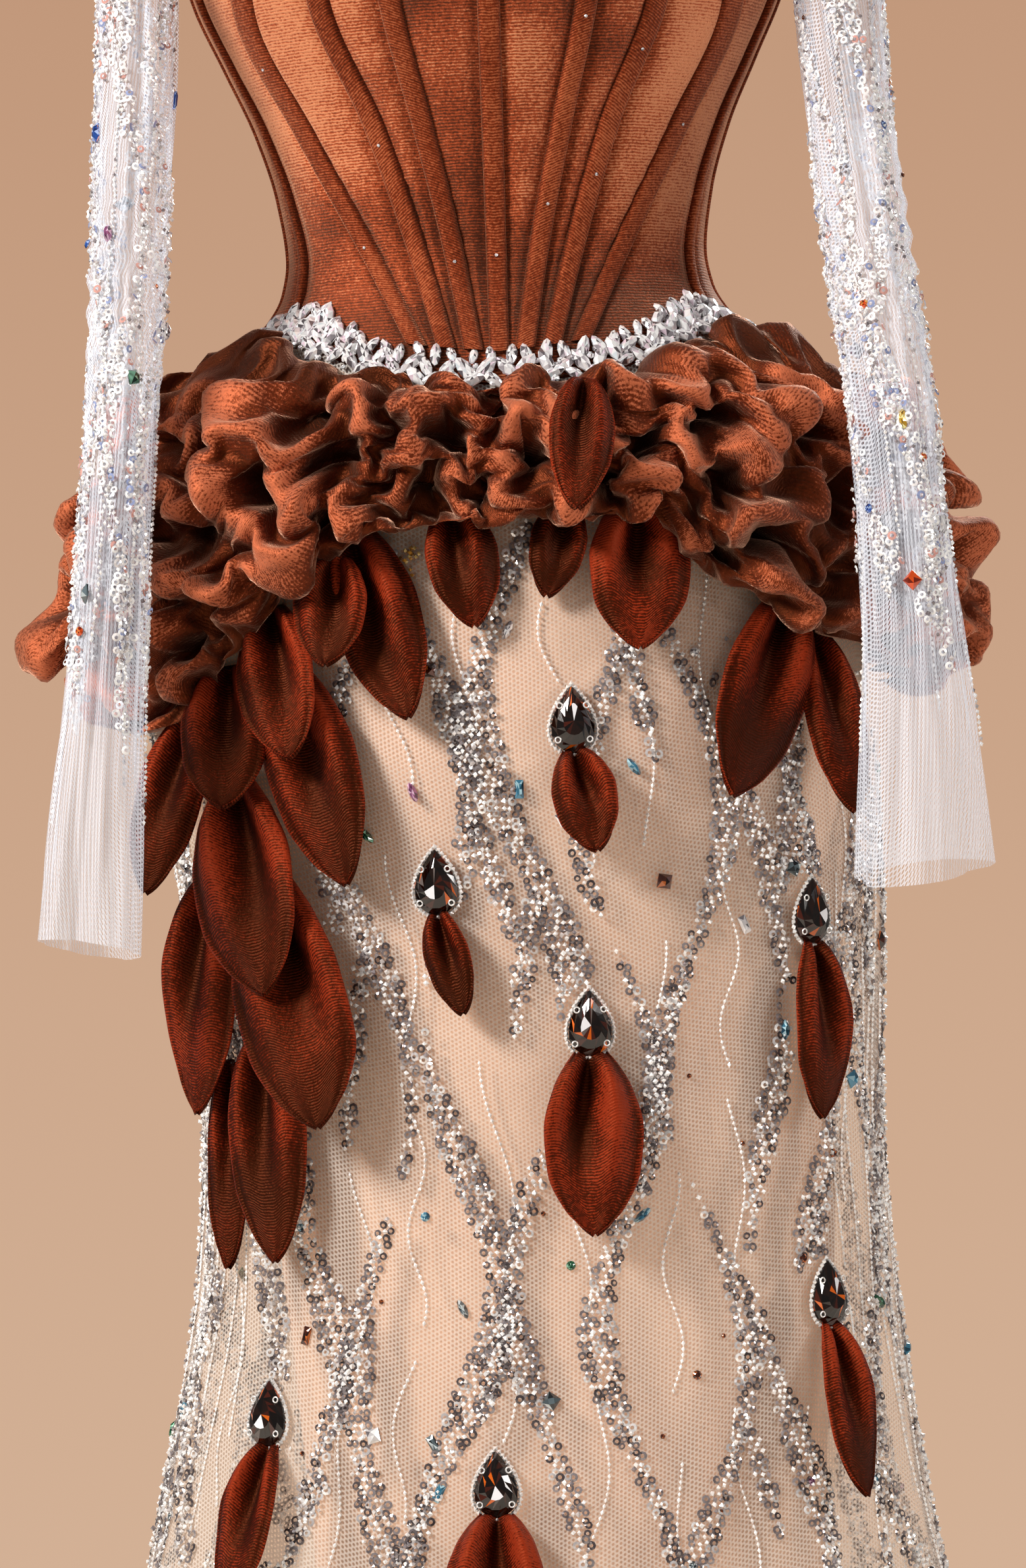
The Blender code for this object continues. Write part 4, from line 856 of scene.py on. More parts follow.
def grow_folds(piece, pins, frames):
    """Let a band of cloth buckle: it grows while its pins hold, over the body as a collision form."""
    heights = np.linspace(-0.02, -0.30, 40)[:, None]
    under = body(all_round(96), heights)
    mesh = bpy.data.meshes.new("form_under_peplum")
    mesh.from_pydata(under.reshape(-1, 3).tolist(), [], grid_faces(40, 96, ring=True).tolist())
    form = add_object("form_under_peplum", mesh)
    form.modifiers.new("Collision", "COLLISION")
    form.collision.thickness_outer, form.collision.cloth_friction = 0.002, 20
    held = piece.vertex_groups.new(name="held")
    held.add(np.flatnonzero(pins.ravel()).tolist(), 1.0, "REPLACE")
    cloth = piece.modifiers.new("Cloth", "CLOTH")
    settings, contact = cloth.settings, cloth.collision_settings
    values = {
        "quality": 6, "mass": 0.25, "tension_stiffness": 20, "compression_stiffness": 20, "shear_stiffness": 5,
        "bending_stiffness": 0.02, "air_damping": 2, "tension_damping": 5, "compression_damping": 5,
        "shear_damping": 5, "bending_damping": 0.5, "vertex_group_mass": "held", "pin_stiffness": 1,
        "shrink_min": -EXTRA_CLOTH, "shrink_max": -EXTRA_CLOTH, "use_pressure": True,
        "uniform_pressure_force": 0.28,
    }
    for key, value in values.items():
        setattr(settings, key, value)
    settings.effector_weights.gravity = 0.25
    contact.use_collision, contact.distance_min, contact.collision_quality = True, 0.0015, 3
    contact.use_self_collision, contact.self_distance_min, contact.self_friction = True, 0.0016, 5
    for step in range(1, frames + 1):
        bpy.context.scene.frame_set(step)
    shown = piece.evaluated_get(bpy.context.evaluated_depsgraph_get()).to_mesh()
    places = np.empty(len(shown.vertices) * 3)
    shown.vertices.foreach_get("co", places)
    piece.modifiers.remove(cloth)
    piece.vertex_groups.clear()
    bpy.data.objects.remove(form, do_unlink=True)
    bpy.context.scene.frame_set(1)
    piece.data.vertices.foreach_set("co", places)
    piece.data.update()
    return places.reshape(-1, 3)


def relief(points, reach):
    """How far a ring of cloth lies outside its own blurred form: that form is a mean over a few rows and columns."""
    mean = points
    for _ in range(reach):
        mean = (mean + np.roll(mean, 1, 1) + np.roll(mean, -1, 1)) / 3
        padded = np.concatenate([mean[:1], mean, mean[-1:]])
        mean = (padded[:-2] + mean + padded[2:]) / 3
    return ((points - mean) * unit(points * (1, 1, 0))).sum(-1)


grown = grow_folds(peplum, pinned, PEPLUM_FRAMES)
print("folds moved up to", round(float(np.abs(grown - peplum_points.reshape(-1, 3)).max()) * 1000), "mm")
peplum_points = grown.reshape(peplum_points.shape)
# Painted shade and highlight: the cloth is painted darker where it lies inside its blurred form, in the folds'
# hollows, and lighter where it stands out on their ridges.
set_painted_light(peplum, np.clip(0.37 + relief(peplum_points, 14) / 0.016, 0, 1).ravel())
wall = peplum.modifiers.new("wall", "SOLIDIFY")
wall.thickness, wall.offset = 0.0012, 0
soften = peplum.modifiers.new("soften", "SUBSURF")
soften.levels = soften.render_levels = 1
fit(peplum, "velvet", "peplum_front", "peplum_left", "peplum_right")
shown = peplum.evaluated_get(bpy.context.evaluated_depsgraph_get()).to_mesh()
face_areas = np.empty(len(shown.polygons))
shown.polygons.foreach_get("area", face_areas)
around = lengths(close(peplum_points), 1)[:, -1].mean()

# %% [markdown]
# ## Velvet leaves
#
# Each leaf is two layers of velvet, sewn along a pointed outline and turned out, so it has a soft welt round its
# edge and a groove just inside it. The base is pinched in the middle before it is sewn on, which cups the leaf
# and gives it one deep fold that fades towards the tip. A leaf hangs from its base and leans and lifts as given.
#
# The sheet is a grid along and across the leaf: half its width at each step follows the outline, and its height
# adds a bow, a cup, the pinch, the welt and a slight twist.

# %% Leaves
LEAVES = (  # name, base x and z, length, width, lean in degrees, lift, tip's rise, turn to the front
    ("left_a", -0.082, -0.175, 0.040, 0.036, -2, 0.0094, 0.014, 0.3),
    ("left_b", -0.070, -0.160, 0.084, 0.041, 17, 0.0008, 0.008, 0.3),
    ("left_c", -0.113, -0.198, 0.066, 0.040, 14, 0.0008, 0.026, 0.3),
    ("left_d", -0.137, -0.226, 0.060, 0.043, 6, 0.0008, 0.030, 0.4),
    ("left_e", -0.104, -0.228, 0.096, 0.046, 16, 0.0008, 0.012, 0.3),
    ("left_f", -0.160, -0.246, 0.080, 0.033, -16, 0.0008, 0.018, 0.5),
    ("left_g", -0.134, -0.284, 0.094, 0.056, 13, 0.0008, 0.034, 0.4),
    ("left_h", -0.153, -0.330, 0.104, 0.041, -6, 0.0008, 0.014, 0.4),
    ("left_i", -0.116, -0.334, 0.111, 0.058, 15, 0.0008, 0.034, 0.3),
    ("left_j", -0.146, -0.424, 0.088, 0.022, -1, 0.0008, 0.010, 0.4),
    ("left_k", -0.125, -0.408, 0.100, 0.040, 5, 0.0008, 0.022, 0.3),
    ("centre_a", -0.022, -0.150, 0.046, 0.033, 9, 0.0008, 0.008, 0.0),
    ("centre_b", 0.026, -0.150, 0.032, 0.026, -14, 0.0008, 0.005, 0.0),
    ("centre_c", 0.064, -0.150, 0.060, 0.047, -4, 0.0008, 0.012, 0.2),
    ("centre_d", 0.034, -0.092, 0.056, 0.030, -8, 0.0355, 0.006, 0.1),
    ("right_a", 0.132, -0.200, 0.092, 0.048, -24, 0.0008, 0.012, 0.3),
    ("right_b", 0.152, -0.216, 0.080, 0.030, 4, 0.0008, 0.028, 0.4),
)
STONES = (  # x and z of the stone, then length, width, lean and tip's rise of its leaf
    (0.030, -0.241, 0.049, 0.032, 10, 0.010), (-0.039, -0.319, 0.049, 0.024, 14, 0.009),
    (0.034, -0.391, 0.087, 0.050, -1, 0.014), (0.146, -0.340, 0.086, 0.034, -2, 0.014),
    (0.149, -0.533, 0.086, 0.032, -2, 0.020), (-0.131, -0.584, 0.084, 0.035, -4, 0.022),
    (-0.019, -0.618, 0.084, 0.050, -1, 0.024),
)
STONE_WIDTH, STONE_LENGTH, STONE_HEIGHT = 0.0215, 0.0325, 0.0085
LEAF_ALONG = (0.0, 0.07, 0.20, 0.42, 0.66, 0.86, 0.96, 1.0)
LEAF_HALF = (0.34, 0.54, 0.80, 1.00, 0.92, 0.59, 0.25, 0.012)
LEAF_ROWS, LEAF_COLUMNS, LEAF_WALL = 47, 33, 0.0020


def hanging_place(x, z, lift, to_front):
    """Point above the skirt at x and z, then the cloth's sideways, downward and outward directions there.

    to_front turns them back towards the front: 0 leaves them on the cloth, 1 faces them straight ahead.
    """
    from_middle = (x - look_up(SWAY, z)) / half_width(z)
    angle = float(np.degrees(np.arcsin(np.clip(from_middle, -0.98, 0.98))))
    place, (right, _, _) = on_body(angle, z)
    slope = body(angle, z - 0.008) - body(angle, z + 0.008)
    facing = math.atan2(right[1], right[0]) * (1 - to_front)
    sideways = np.array([math.cos(facing), math.sin(facing), 0.0])
    level = np.array([math.sin(facing), -math.cos(facing), 0.0])
    flare = math.atan2(float(slope @ level), float(-slope[2]))
    falling = math.sin(flare) * level + math.cos(flare) * np.array([0, 0, -1.0])
    return place + lift * level, sideways, falling, np.cross(falling, sideways)


def leaf_points(place, length, width, lean, rise, rng):
    """Grid of a leaf: its axes turned by its lean and rise, then bowed, cupped, pinched, welted and twisted."""
    point, sideways, falling, outward = place
    lean, tilt = math.radians(lean), math.atan2(rise, length)
    hang = math.cos(lean) * falling + math.sin(lean) * sideways
    along = math.cos(tilt) * hang + math.sin(tilt) * outward
    face = math.cos(tilt) * outward - math.sin(tilt) * hang
    cross = np.cross(face, along)
    s, t = np.linspace(0, 1, LEAF_ROWS)[:, None], np.linspace(-1, 1, LEAF_COLUMNS)[None]
    half = width / 2 * smooth(s, LEAF_ALONG, LEAF_HALF)
    scale = width / 0.045
    cup = 0.0100 * s * (1 - s) + 0.0036 * scale * (1 - t**2) * hill(s, 0.70, 0.22)
    off, end = rng.uniform(-0.3, 0.3) * (0.3 + s), rng.uniform(0.42, 0.60)
    fade = np.cos(np.clip(s / (end + 0.33), 0, 1) * np.pi / 2) ** 1.3 * (1 - np.exp(-s * 14))
    pinch = -0.0024 * hill(t, off, 0.13 + 0.45 * s) * fade
    shoulders = 0.0115 * scale * np.cos(np.clip((np.abs(t - off) - 0.62) / 0.62, -1, 1) * np.pi / 2) ** 2 * fade
    edge = hill(np.abs(t), 0.95, 0.05) * 0.0006 - hill(np.abs(t), 0.84, 0.05) * 0.0005
    twist = math.tan(rng.uniform(-0.30, 0.30)) * s**1.5 * half * t
    wave = 0.0011 * np.sin(s * rng.uniform(7, 11) + 3 * np.sign(t) + rng.uniform(0, 6)) * t**2 * np.sin(np.pi * s)
    curl = 0.0040 * rng.uniform(-0.4, 1.0) * np.clip((s - 0.7) / 0.3, 0, 1) ** 2
    height = cup + pinch + shoulders + edge + np.maximum(twist, -0.6 * rise * s) + wave + curl + 0.0022
    # Painted light: painted shade in the pinched fold and in the groove inside the welt, a painted highlight on the
    # raised shoulders, and a bright rim painted along the edge as sheen; each leaf is then a little darker by chance.
    worn = 0.32 - 0.32 * hill(t, off, 0.16 + 0.30 * s) * fade + 80 * (shoulders + pinch)
    worn = worn + 0.80 * hill(np.abs(t), 1, 0.05) - 0.25 * hill(np.abs(t), 0.84, 0.06)
    points = point + (s * length)[..., None] * along + (half * t)[..., None] * cross + height[..., None] * face
    return points, np.clip(worn - 0.25 * rng.random(), 0, 1)


rng = np.random.default_rng(21)
TUCKED, FULLER = 0.017, 1.08  # metres hidden above the visible base, and how much fuller than its seam a leaf looks
HANGING = []
for name, x, z, length, width, lean, *size in LEAVES:
    root = x - TUCKED * math.sin(math.radians(lean)), z + TUCKED
    HANGING.append((f"leaf_{name}", *root, length + TUCKED, width * FULLER, lean, *size))
for number, (x, z, length, width, lean, rise) in enumerate(STONES, 1):
    foot = z - STONE_LENGTH / 2 * 1.06 - 0.0008
    HANGING.append((f"stone_leaf_{number}", x, foot + 0.003, length + 0.003, width, lean, 0.0009, rise, 0.0))
for name, x, z, length, width, lean, lift, rise, to_front in HANGING:
    points, worn = leaf_points(hanging_place(x, z, lift, to_front), length, width, lean, rise, rng)
    add_sheet("velvet_" + name, LEAF_VELVET, "velvet_leaf", name, points, "hung", wall=LEAF_WALL, worn=worn)

# %% [markdown]
# ## Cut glass
#
# Crystals, rhinestones and the large teardrops are cut glass with a foiled back: each flat facet throws back a
# different part of the room. Real refraction of hundreds of stones is slow, so each facet has a tint of its own
# instead, from a few base colours: its lighter and darker facets are painted reflections and glints, and the shader
# adds sharp real reflections on top. A cut stone is an outline, its belt, a ring of slanted facets, and a flat table.

# %% Cut stones
def new_glass(name, metallic, coat):
    """Foiled cut glass: colour from each facet's own tint, which on cut stones holds painted reflections, very
    smooth, with a clear coat.
    """
    material, tree, shader = new_material(
        name, Roughness=0.09, Metallic=metallic, IOR=1.58, Coat_Weight=coat, Coat_Roughness=0.03)
    tint = node(tree, "ShaderNodeAttribute", attribute_name="tint")
    plug(shader, {"Base Color": tint.outputs["Color"]})
    return material


CRYSTAL = new_glass("foiled_crystal", 0.30, 0.8)
TOPAZ = new_glass("smoky_topaz_glass", 0.0, 0.25)


def cut_stone(outline, table=0.55, belt=0.35):
    """Facets of a stone one unit high, each with points of its own, from its outline to its table.

    A facet runs from each side of the belt to the table's turned outline. The table is a fan round its middle.
    """
    count = len(outline)
    flat = np.zeros((count, 1))
    mid = (outline + np.roll(outline, -1, axis=0)) / 2 * table
    rings = np.concatenate([
        np.hstack([outline, flat]), np.hstack([outline, flat + belt]), np.hstack([mid, flat + 1]), [[0, 0, 1.0]]])
    i = np.arange(count)
    j = (i + 1) % count
    faces = np.concatenate([
        np.stack([i, j, count + j], 1), np.stack([i, count + j, count + i], 1),
        np.stack([count + i, count + j, 2 * count + i], 1),
        np.stack([count + j, 2 * count + j, 2 * count + i], 1),
        np.stack([2 * count + i, 2 * count + j, np.full(count, 3 * count)], 1),
    ])
    return rings[faces].reshape(-1, 3), np.arange(len(faces) * 3).reshape(-1, 3)


def circle(count, turn=0.0):
    at = np.arange(count) * 2 * np.pi / count + turn
    return np.stack([np.cos(at), np.sin(at)], 1)


def marquise(count=10):
    """Pointed oval: y runs along it, and x is a sine that is squeezed near the ends."""
    at = np.arange(count) * 2 * np.pi / count
    return np.stack([0.46 * np.sin(at) * np.abs(np.sin(at)) ** 0.25, np.cos(at)], 1)[::-1]


def teardrop(count):
    """Teardrop with its tip up: across is the sine times the sine of half the turn."""
    at = np.arange(count) * 2 * np.pi / count
    across = np.sin(at) * np.sin((np.pi - np.abs(np.pi - at)) / 2 + 1e-6) ** 0.9
    return np.stack([across / np.abs(across).max(), np.cos(at)], 1)[::-1]


def pick(palette, chances, count, rng):
    """Tints drawn from a palette, each with its own chance."""
    return np.array([colour(code)[:3] for code in palette])[rng.choice(len(palette), count, p=chances)]


def facet_colours_and_glints(palette, chances, facets, rng):
    """A tint for each point, one to a facet, drawn from a palette and made a little lighter or darker: the light and
    dark facets are painted reflections of the room.
    """
    chosen = pick(palette, chances, facets, rng)
    return np.repeat(chosen * rng.uniform(0.75, 1.25, (facets, 1)), 3, axis=0).clip(0, 1)


def turned(axes, degrees):
    """Directions turned in their own plane, the same way as a clock runs backwards."""
    turn = np.radians(np.asarray(degrees, float))[..., None]
    right, up, outward = axes[..., 0, :], axes[..., 1, :], axes[..., 2, :]
    return np.stack([
        right * np.cos(turn) + up * np.sin(turn), up * np.cos(turn) - right * np.sin(turn), outward], axis=-2)


# %% [markdown]
# ## Teardrop stones and their settings
#
# Seven smoky topaz teardrops hang over the skirt. Most facets are nearly black; some are painted orange as a painted
# glow of light coming back through the stone, and three side by side on the table are painted pale grey as a painted
# reflection of the bright studio. A rope of tiny rhinestones runs round each stone, and four looped prongs hold it.

# %% Teardrop stones
rng = np.random.default_rng(5)
bead_shape = np.array([[1, 0, 0], [-1, 0, 0], [0, 1, 0], [0, -1, 0], [0, 0, 1], [0, 0, -1]], float)
bead_faces = np.array([[0, 2, 4], [2, 1, 4], [1, 3, 4], [3, 0, 4], [2, 0, 5], [1, 2, 5], [3, 1, 5], [0, 3, 5]])
SILVER = new_material("silver_plated_setting", Base_Color=colour("#f1efed"), Metallic=0.45, Roughness=0.2)[0]
DROP_SIDES, DROP_FACETS = 18, 144  # round a stone, and slanted facets before its table
ROPE_BEADS, ROPE_BEAD_SIZE = 38, 0.00155
PRONGS = np.array([(-0.62, 0.42), (0.62, 0.42), (-0.74, -0.62), (0.74, -0.62)])  # shares of half the stone's size
# The topaz's own near-black browns, a painted orange glow of light coming back through the stone, and a painted grey
# reflection.
TOPAZ_TONES_AND_GLINTS = ("#080201", "#160703", "#3a1207", "#c4580d", "#5c5350")
TOPAZ_CHANCES = (0.48, 0.28, 0.14, 0.08, 0.02)


def stone_rings():
    """Rings of a teardrop from its back to its table: outline's size and share of the height."""
    outline, steps = teardrop(DROP_SIDES), ((0.93, 0.0), (1.0, 0.22), (1.0, 0.40), (0.80, 0.74), (0.52, 1.0))
    rings = []
    for number, (size, height) in enumerate(steps):
        ring = outline if number < 3 else (outline + np.roll(outline, -(number - 2), 0)) / 2
        rings.append(np.hstack([ring * size, np.full((DROP_SIDES, 1), height)]))
    return np.array(rings)


def stone_shape():
    """Corners of a teardrop's facets, three to a facet: slanted ones in two sets, then the table and the back."""
    i = np.arange(DROP_SIDES)
    j = (i + 1) % DROP_SIDES
    low = [r * DROP_SIDES for r in range(4)]
    facets = [np.stack([r + i, r + j, r + DROP_SIDES + j], 1) for r in low]
    facets += [np.stack([r + i, r + DROP_SIDES + j, r + DROP_SIDES + i], 1) for r in low]
    top, middle = 4 * DROP_SIDES, np.full(DROP_SIDES, 5 * DROP_SIDES)
    facets += [np.stack([top + i, top + j, middle], 1), np.stack([j, i, middle + 1], 1)]
    corners = np.concatenate([stone_rings().reshape(-1, 3), [[0, -0.05, 1.0], [0, 0, 0]]])
    shape = corners[np.concatenate(facets)].reshape(-1, 3)
    return shape * (STONE_WIDTH / 2, STONE_LENGTH / 2, STONE_HEIGHT)


def torus(count, sides, radius, thick):
    """Ring of round wire that lies flat."""
    a, b = np.meshgrid(np.arange(count) * 2 * np.pi / count, np.arange(sides) * 2 * np.pi / sides, indexing="ij")
    reach = radius + thick * np.cos(b)
    points = np.stack([reach * np.cos(a), reach * np.sin(a), thick * np.sin(b)], -1).reshape(-1, 3)
    i, j = np.meshgrid(np.arange(count), np.arange(sides), indexing="ij")
    k, m = (i + 1) % count, (j + 1) % sides
    faces = np.stack([i * sides + j, k * sides + j, k * sides + m, i * sides + m], -1).reshape(-1, 4)
    return points, faces


shape = stone_shape()
loop_shape, loop_wire = torus(12, 6, 0.0014, 0.0004)
ropes, loops = [], []
for number, (x, z, *_) in enumerate(STONES, 1):
    point, sideways, falling, outward = hanging_place(x, z, 0.0007, 0.0)
    axes = np.stack([sideways, -falling, outward])
    tints = facet_colours_and_glints(TOPAZ_TONES_AND_GLINTS, TOPAZ_CHANCES, len(shape) // 3, rng)
    # Three side by side table facets get a painted reflection of the bright studio.
    painted_reflection_facets = DROP_FACETS + (rng.integers(0, DROP_SIDES) + np.arange(3)) % DROP_SIDES
    tints[painted_reflection_facets[:, None] * 3 + np.arange(3)] = colour("#e6e6ea")[:3]
    faces = np.arange(len(shape)).reshape(-1, 3)
    stone = add_piece(f"teardrop_stone_{number}", point + shape @ axes, faces, TOPAZ, tint=tints, faceted=True)
    fit(stone, "brown_glass", f"stone_{number}")
    edge = teardrop(240) * (STONE_WIDTH / 2 + 0.0012, STONE_LENGTH / 2 + 0.0012)
    run = np.concatenate([[0], np.cumsum(np.linalg.norm(np.diff(edge, axis=0), axis=1))])
    even = [np.interp(np.linspace(0, run[-1], ROPE_BEADS, endpoint=False), run, edge[:, k]) for k in (0, 1)]
    places = point + np.stack([*even, np.full(ROPE_BEADS, 0.0022)], 1) @ axes
    spun = turned(np.repeat(axes[None], ROPE_BEADS, 0), rng.uniform(0, 90, ROPE_BEADS))
    ropes.append(scatter(bead_shape, bead_faces, places, spun, ROPE_BEAD_SIZE))
    corners = PRONGS * (STONE_WIDTH / 2, STONE_LENGTH / 2)
    places = point + np.hstack([corners, np.full((4, 1), 0.0062)]) @ axes
    loops.append(scatter(loop_shape, loop_wire, places, np.repeat(axes[None], 4, 0), 1.0))
fit(add_piece("rhinestone_ropes", *merged(ropes), SILVER, faceted=True), "crystal")
fit(add_piece("prong_loops", *merged(loops), SILVER), "crystal")
print("teardrop stones:", len(STONES))

# %% [markdown]
# ## Crystal trim
#
# A band of crystals covers the seam between corset and peplum: pointed ovals set in pairs, like leaves on a
# twig, with round stones between them. Each step along the seam gets one pair and a few rounds, and every stone
# is turned, lifted and tilted a little by chance.

# %% Crystal trim
# Clear crystal's facets: white, greys, faint pink and faint blue are painted reflections and glints.
CLEAR_FACET_REFLECTIONS = ("#ffffff", "#dddadd", "#a39da2", "#5a5357", "#efd9e6", "#dfe9ee")
CLEAR_CHANCES = (0.44, 0.18, 0.12, 0.14, 0.07, 0.05)
marquise_shape, marquise_faces = cut_stone(marquise())
round_shape, round_faces = cut_stone(circle(8))


def tilted(axes, degrees, rng):
    """Directions tipped over by chance, up to a number of degrees."""
    lean = np.tan(np.radians(rng.uniform(-degrees, degrees, (len(axes), 2))))
    outward = unit(axes[:, 2] + axes[:, 0] * lean[:, :1] + axes[:, 1] * lean[:, 1:])
    right = unit(axes[:, 0] - outward * (axes[:, 0] * outward).sum(-1, keepdims=True))
    return np.stack([right, np.cross(outward, right), outward], axis=-2)


def trim_stones(first, last, rng):
    """Points, faces and facet tints of the trim's stones between two angles round the corset's hem."""
    count = int((last - first) / 360 * 0.80 / 0.0080)
    step = first + (np.arange(count) + 0.5) / count * (last - first)
    odd = np.arange(count) % 2
    rows = []
    for shift, height, turn, size in (
        (-0.0016, 0.0050, 34, 0.0074), (0.0018, -0.0008, -52, 0.0071), (0.0002, 0.0110, -20, 0.0062),
    ):
        angle = step + np.degrees(shift / 0.13) + rng.uniform(-0.5, 0.5, count)
        z = hem_line(angle) + height + rng.uniform(-0.0014, 0.0014, count) + 0.0008
        lean = turn * np.where(odd, 1, -1) + rng.uniform(-18, 18, count)
        rows.append((marquise_shape, marquise_faces, angle, z, lean, size * rng.uniform(0.85, 1.15, count), 0.46))
    for height in (-0.0030, 0.0030, 0.0085):
        angle = step + rng.uniform(-1.4, 1.4, count)
        z = hem_line(angle) + height + rng.uniform(-0.002, 0.002, count)
        turn, size = rng.uniform(0, 90, count), rng.uniform(0.0013, 0.0022, count)
        rows.append((round_shape, round_faces, angle, z, turn, size, 0.8))
    parts = []
    for shape, faces, angle, z, lean, size, thick in rows:
        places, axes = on_body(angle, z, 0.0012 + rng.uniform(0, 0.0016, count))
        axes = tilted(turned(axes, lean), 16, rng)
        parts.append(scatter(shape, faces, places, axes, np.stack([size, size, size * thick], 1)))
    points, faces = merged(parts)
    return points, faces, facet_colours_and_glints(CLEAR_FACET_REFLECTIONS, CLEAR_CHANCES, len(faces), rng)


rng = np.random.default_rng(11)
for name, first, last in (("front", -90, 90), ("back", 90, 270)):
    points, faces, tints = trim_stones(first, last, rng)
    trim = add_piece(f"crystal_trim_stones_{name}", points, faces, CRYSTAL, tint=tints, faceted=True)
    fit(trim, "crystal", f"crystal_trim_{name}")
    print(f"crystal trim, {name}:", len(faces), "facets")

# %% [markdown]
# ## Embroidery
#
# The net is worked by hand with ring sequins, glass seed beads, and a few loose crystals. The sequins are tiny
# cupped rings, sewn one over the other in bands that wander down the skirt, meet, cross and part. Thin rows of
# beads run between the bands, and at the sides long strings of beads hang close together.
#
# Each band is a path whose angle swings with the height. Places are set out in lanes beside the path while they
# lie within its width, which tapers to both ends. A place then gets a ring or a bead, with its own small turn,
# lift and tilt. The layout is worked out from these rules and a fixed seed.

# %% Places on cloth
def on_cloth(points, row, place):
    """Places on a ring of cloth at fractional rows and columns, with their directions: right, up, outwards."""
    rows, columns = points.shape[:2]
    row = np.clip(row, 0.61, rows - 1.62)

    def at(r, c):
        c = np.mod(c, columns)
        i, j = r.astype(int), c.astype(int) % columns
        k, down, over = (j + 1) % columns, (r - i)[..., None], (c - j)[..., None]
        above, below = (points[row, j] * (1 - over) + points[row, k] * over for row in (i, i + 1))
        return above * (1 - down) + below * down

    right = unit(at(row, place + 0.6) - at(row, place - 0.6))
    outward = unit(np.cross(right, at(row - 0.6, place) - at(row + 0.6, place)))
    return at(row, place), np.stack([right, np.cross(outward, right), outward], axis=-2)


def on_skirt(angle, z, lift):
    """Places on the rippled net at angles and heights, with their directions."""
    top = hem_line(angle) - NET_DROP
    row = (z - top) / (SKIRT_HEM - top) * (SKIRT_ROWS - 1)
    places, axes = on_cloth(whole_skirt, row, (np.asarray(angle) + 180) / 360 * SKIRT_COLUMNS)
    return places + axes[:, 2] * np.reshape(lift, (-1, 1)), axes


PLACE_STEP, LANE_STEP = 0.0030, 0.0034  # between places in a lane, and between lanes


def lanes(length, width, rng):
    """Offsets along and across a band: staggered lanes, kept where they lie inside its tapered width."""
    along = np.arange(0, length, PLACE_STEP)[:, None]
    lane = np.arange(-4, 5)[None] * LANE_STEP + LANE_STEP / 2 * (np.arange(len(along)) % 2)[:, None]
    u = along / length
    half = width / 2 * np.sin(np.pi * u.clip(0.004, 0.996)) ** 0.45 * (1 + 0.28 * np.sin(u * 17 + rng.uniform(0, 6)))
    along, lane, half = np.broadcast_arrays(along, lane, half)
    kept = np.abs(lane) < half
    edge = np.abs(lane[kept]) / half[kept]
    jitter = rng.uniform(-0.0007, 0.0007, (2, kept.sum()))
    return along[kept] + jitter[0], lane[kept] + jitter[1], edge


# %% Skirt: bands, rows and strings
BANDS, BAND_SWING, BAND_WAVE = 27, 6.4, 0.27  # how many, degrees to either side, and metres of a swing
rng = np.random.default_rng(33)
spots, bead_rows = [], []


def peplum_low(angle):
    """Height of the peplum's lower edge."""
    return look_up(PEPLUM, (np.asarray(angle) + 180) % 360 - 180)


def halves(angle):
    """The skirt's front and back, each with what lies on it."""
    return ("front", from_front(angle) < 90), ("back", from_front(angle) >= 90)


def add_band(path, start, length, width):
    """Spots of one band: its path gives an angle for each height below its start."""
    along, lane, edge = lanes(length, width, rng)
    z = start - along
    angle = path(z)
    spots.append(np.stack([angle + lane / reach_of(angle, z), z, edge], axis=1))


for band in range(BANDS):
    base = -180 + 360 * (band + 0.5) / BANDS
    phase, swing = 2.2 * band + rng.uniform(-0.5, 0.5), BAND_SWING * rng.uniform(0.75, 1.15)
    wave = BAND_WAVE * rng.uniform(0.85, 1.15)
    path = lambda z, b=base, s=swing, w=wave, p=phase: b + s * np.sin(z * 2 * np.pi / w + p)
    z = float(peplum_low(base)) + rng.uniform(-0.02, 0.015)
    while z > -0.96:
        length = min(rng.uniform(0.15, 0.33), z + 1.035)
        add_band(path, z, length, rng.uniform(0.012, 0.0195))
        if rng.random() < 0.75:
            start, side = z - length * rng.uniform(0.2, 0.7), rng.choice((-1, 1))
            lean = rng.uniform(60, 110)
            branch = lambda h, a=float(path(start)), s=start, d=side * lean: a + d * (s - h) * (1 - 2.2 * (s - h))
            add_band(branch, start, rng.uniform(0.06, 0.13), rng.uniform(0.009, 0.012))
        z -= length + rng.uniform(-0.015, 0.020)
    z = float(peplum_low(base)) - rng.uniform(0.0, 0.04)
    while z > -0.98:
        length, start = rng.uniform(0.06, 0.14), z
        bend, tip = rng.uniform(-45, 45), rng.uniform(-2.5, 2.5)
        heights = start - np.arange(0, length, 0.0029)
        middle = base + 180 / BANDS + tip + bend * (start - heights) * (1 - 3 * (start - heights))
        middle = middle + 1.6 * np.sin(heights * 2 * np.pi / rng.uniform(0.07, 0.12) + rng.uniform(0, 6))
        bead_rows.append(np.stack([middle, heights], axis=1))
        z -= length + rng.uniform(0.01, 0.05)
for side in (-1, 1):
    for angle in np.arange(58, 112, 4.6):
        start = -0.30 - rng.uniform(0, 0.09)
        heights = start - np.arange(0, rng.uniform(0.20, 0.44), 0.0027)
        line = side * angle + rng.uniform(-1, 1) + 1.3 * np.sin(heights * 21 + angle)
        bead_rows.append(np.stack([line, heights], axis=1))
spots, bead_rows = np.concatenate(spots), np.concatenate(bead_rows)
print("spots in bands:", len(spots), "beads in rows:", len(bead_rows))

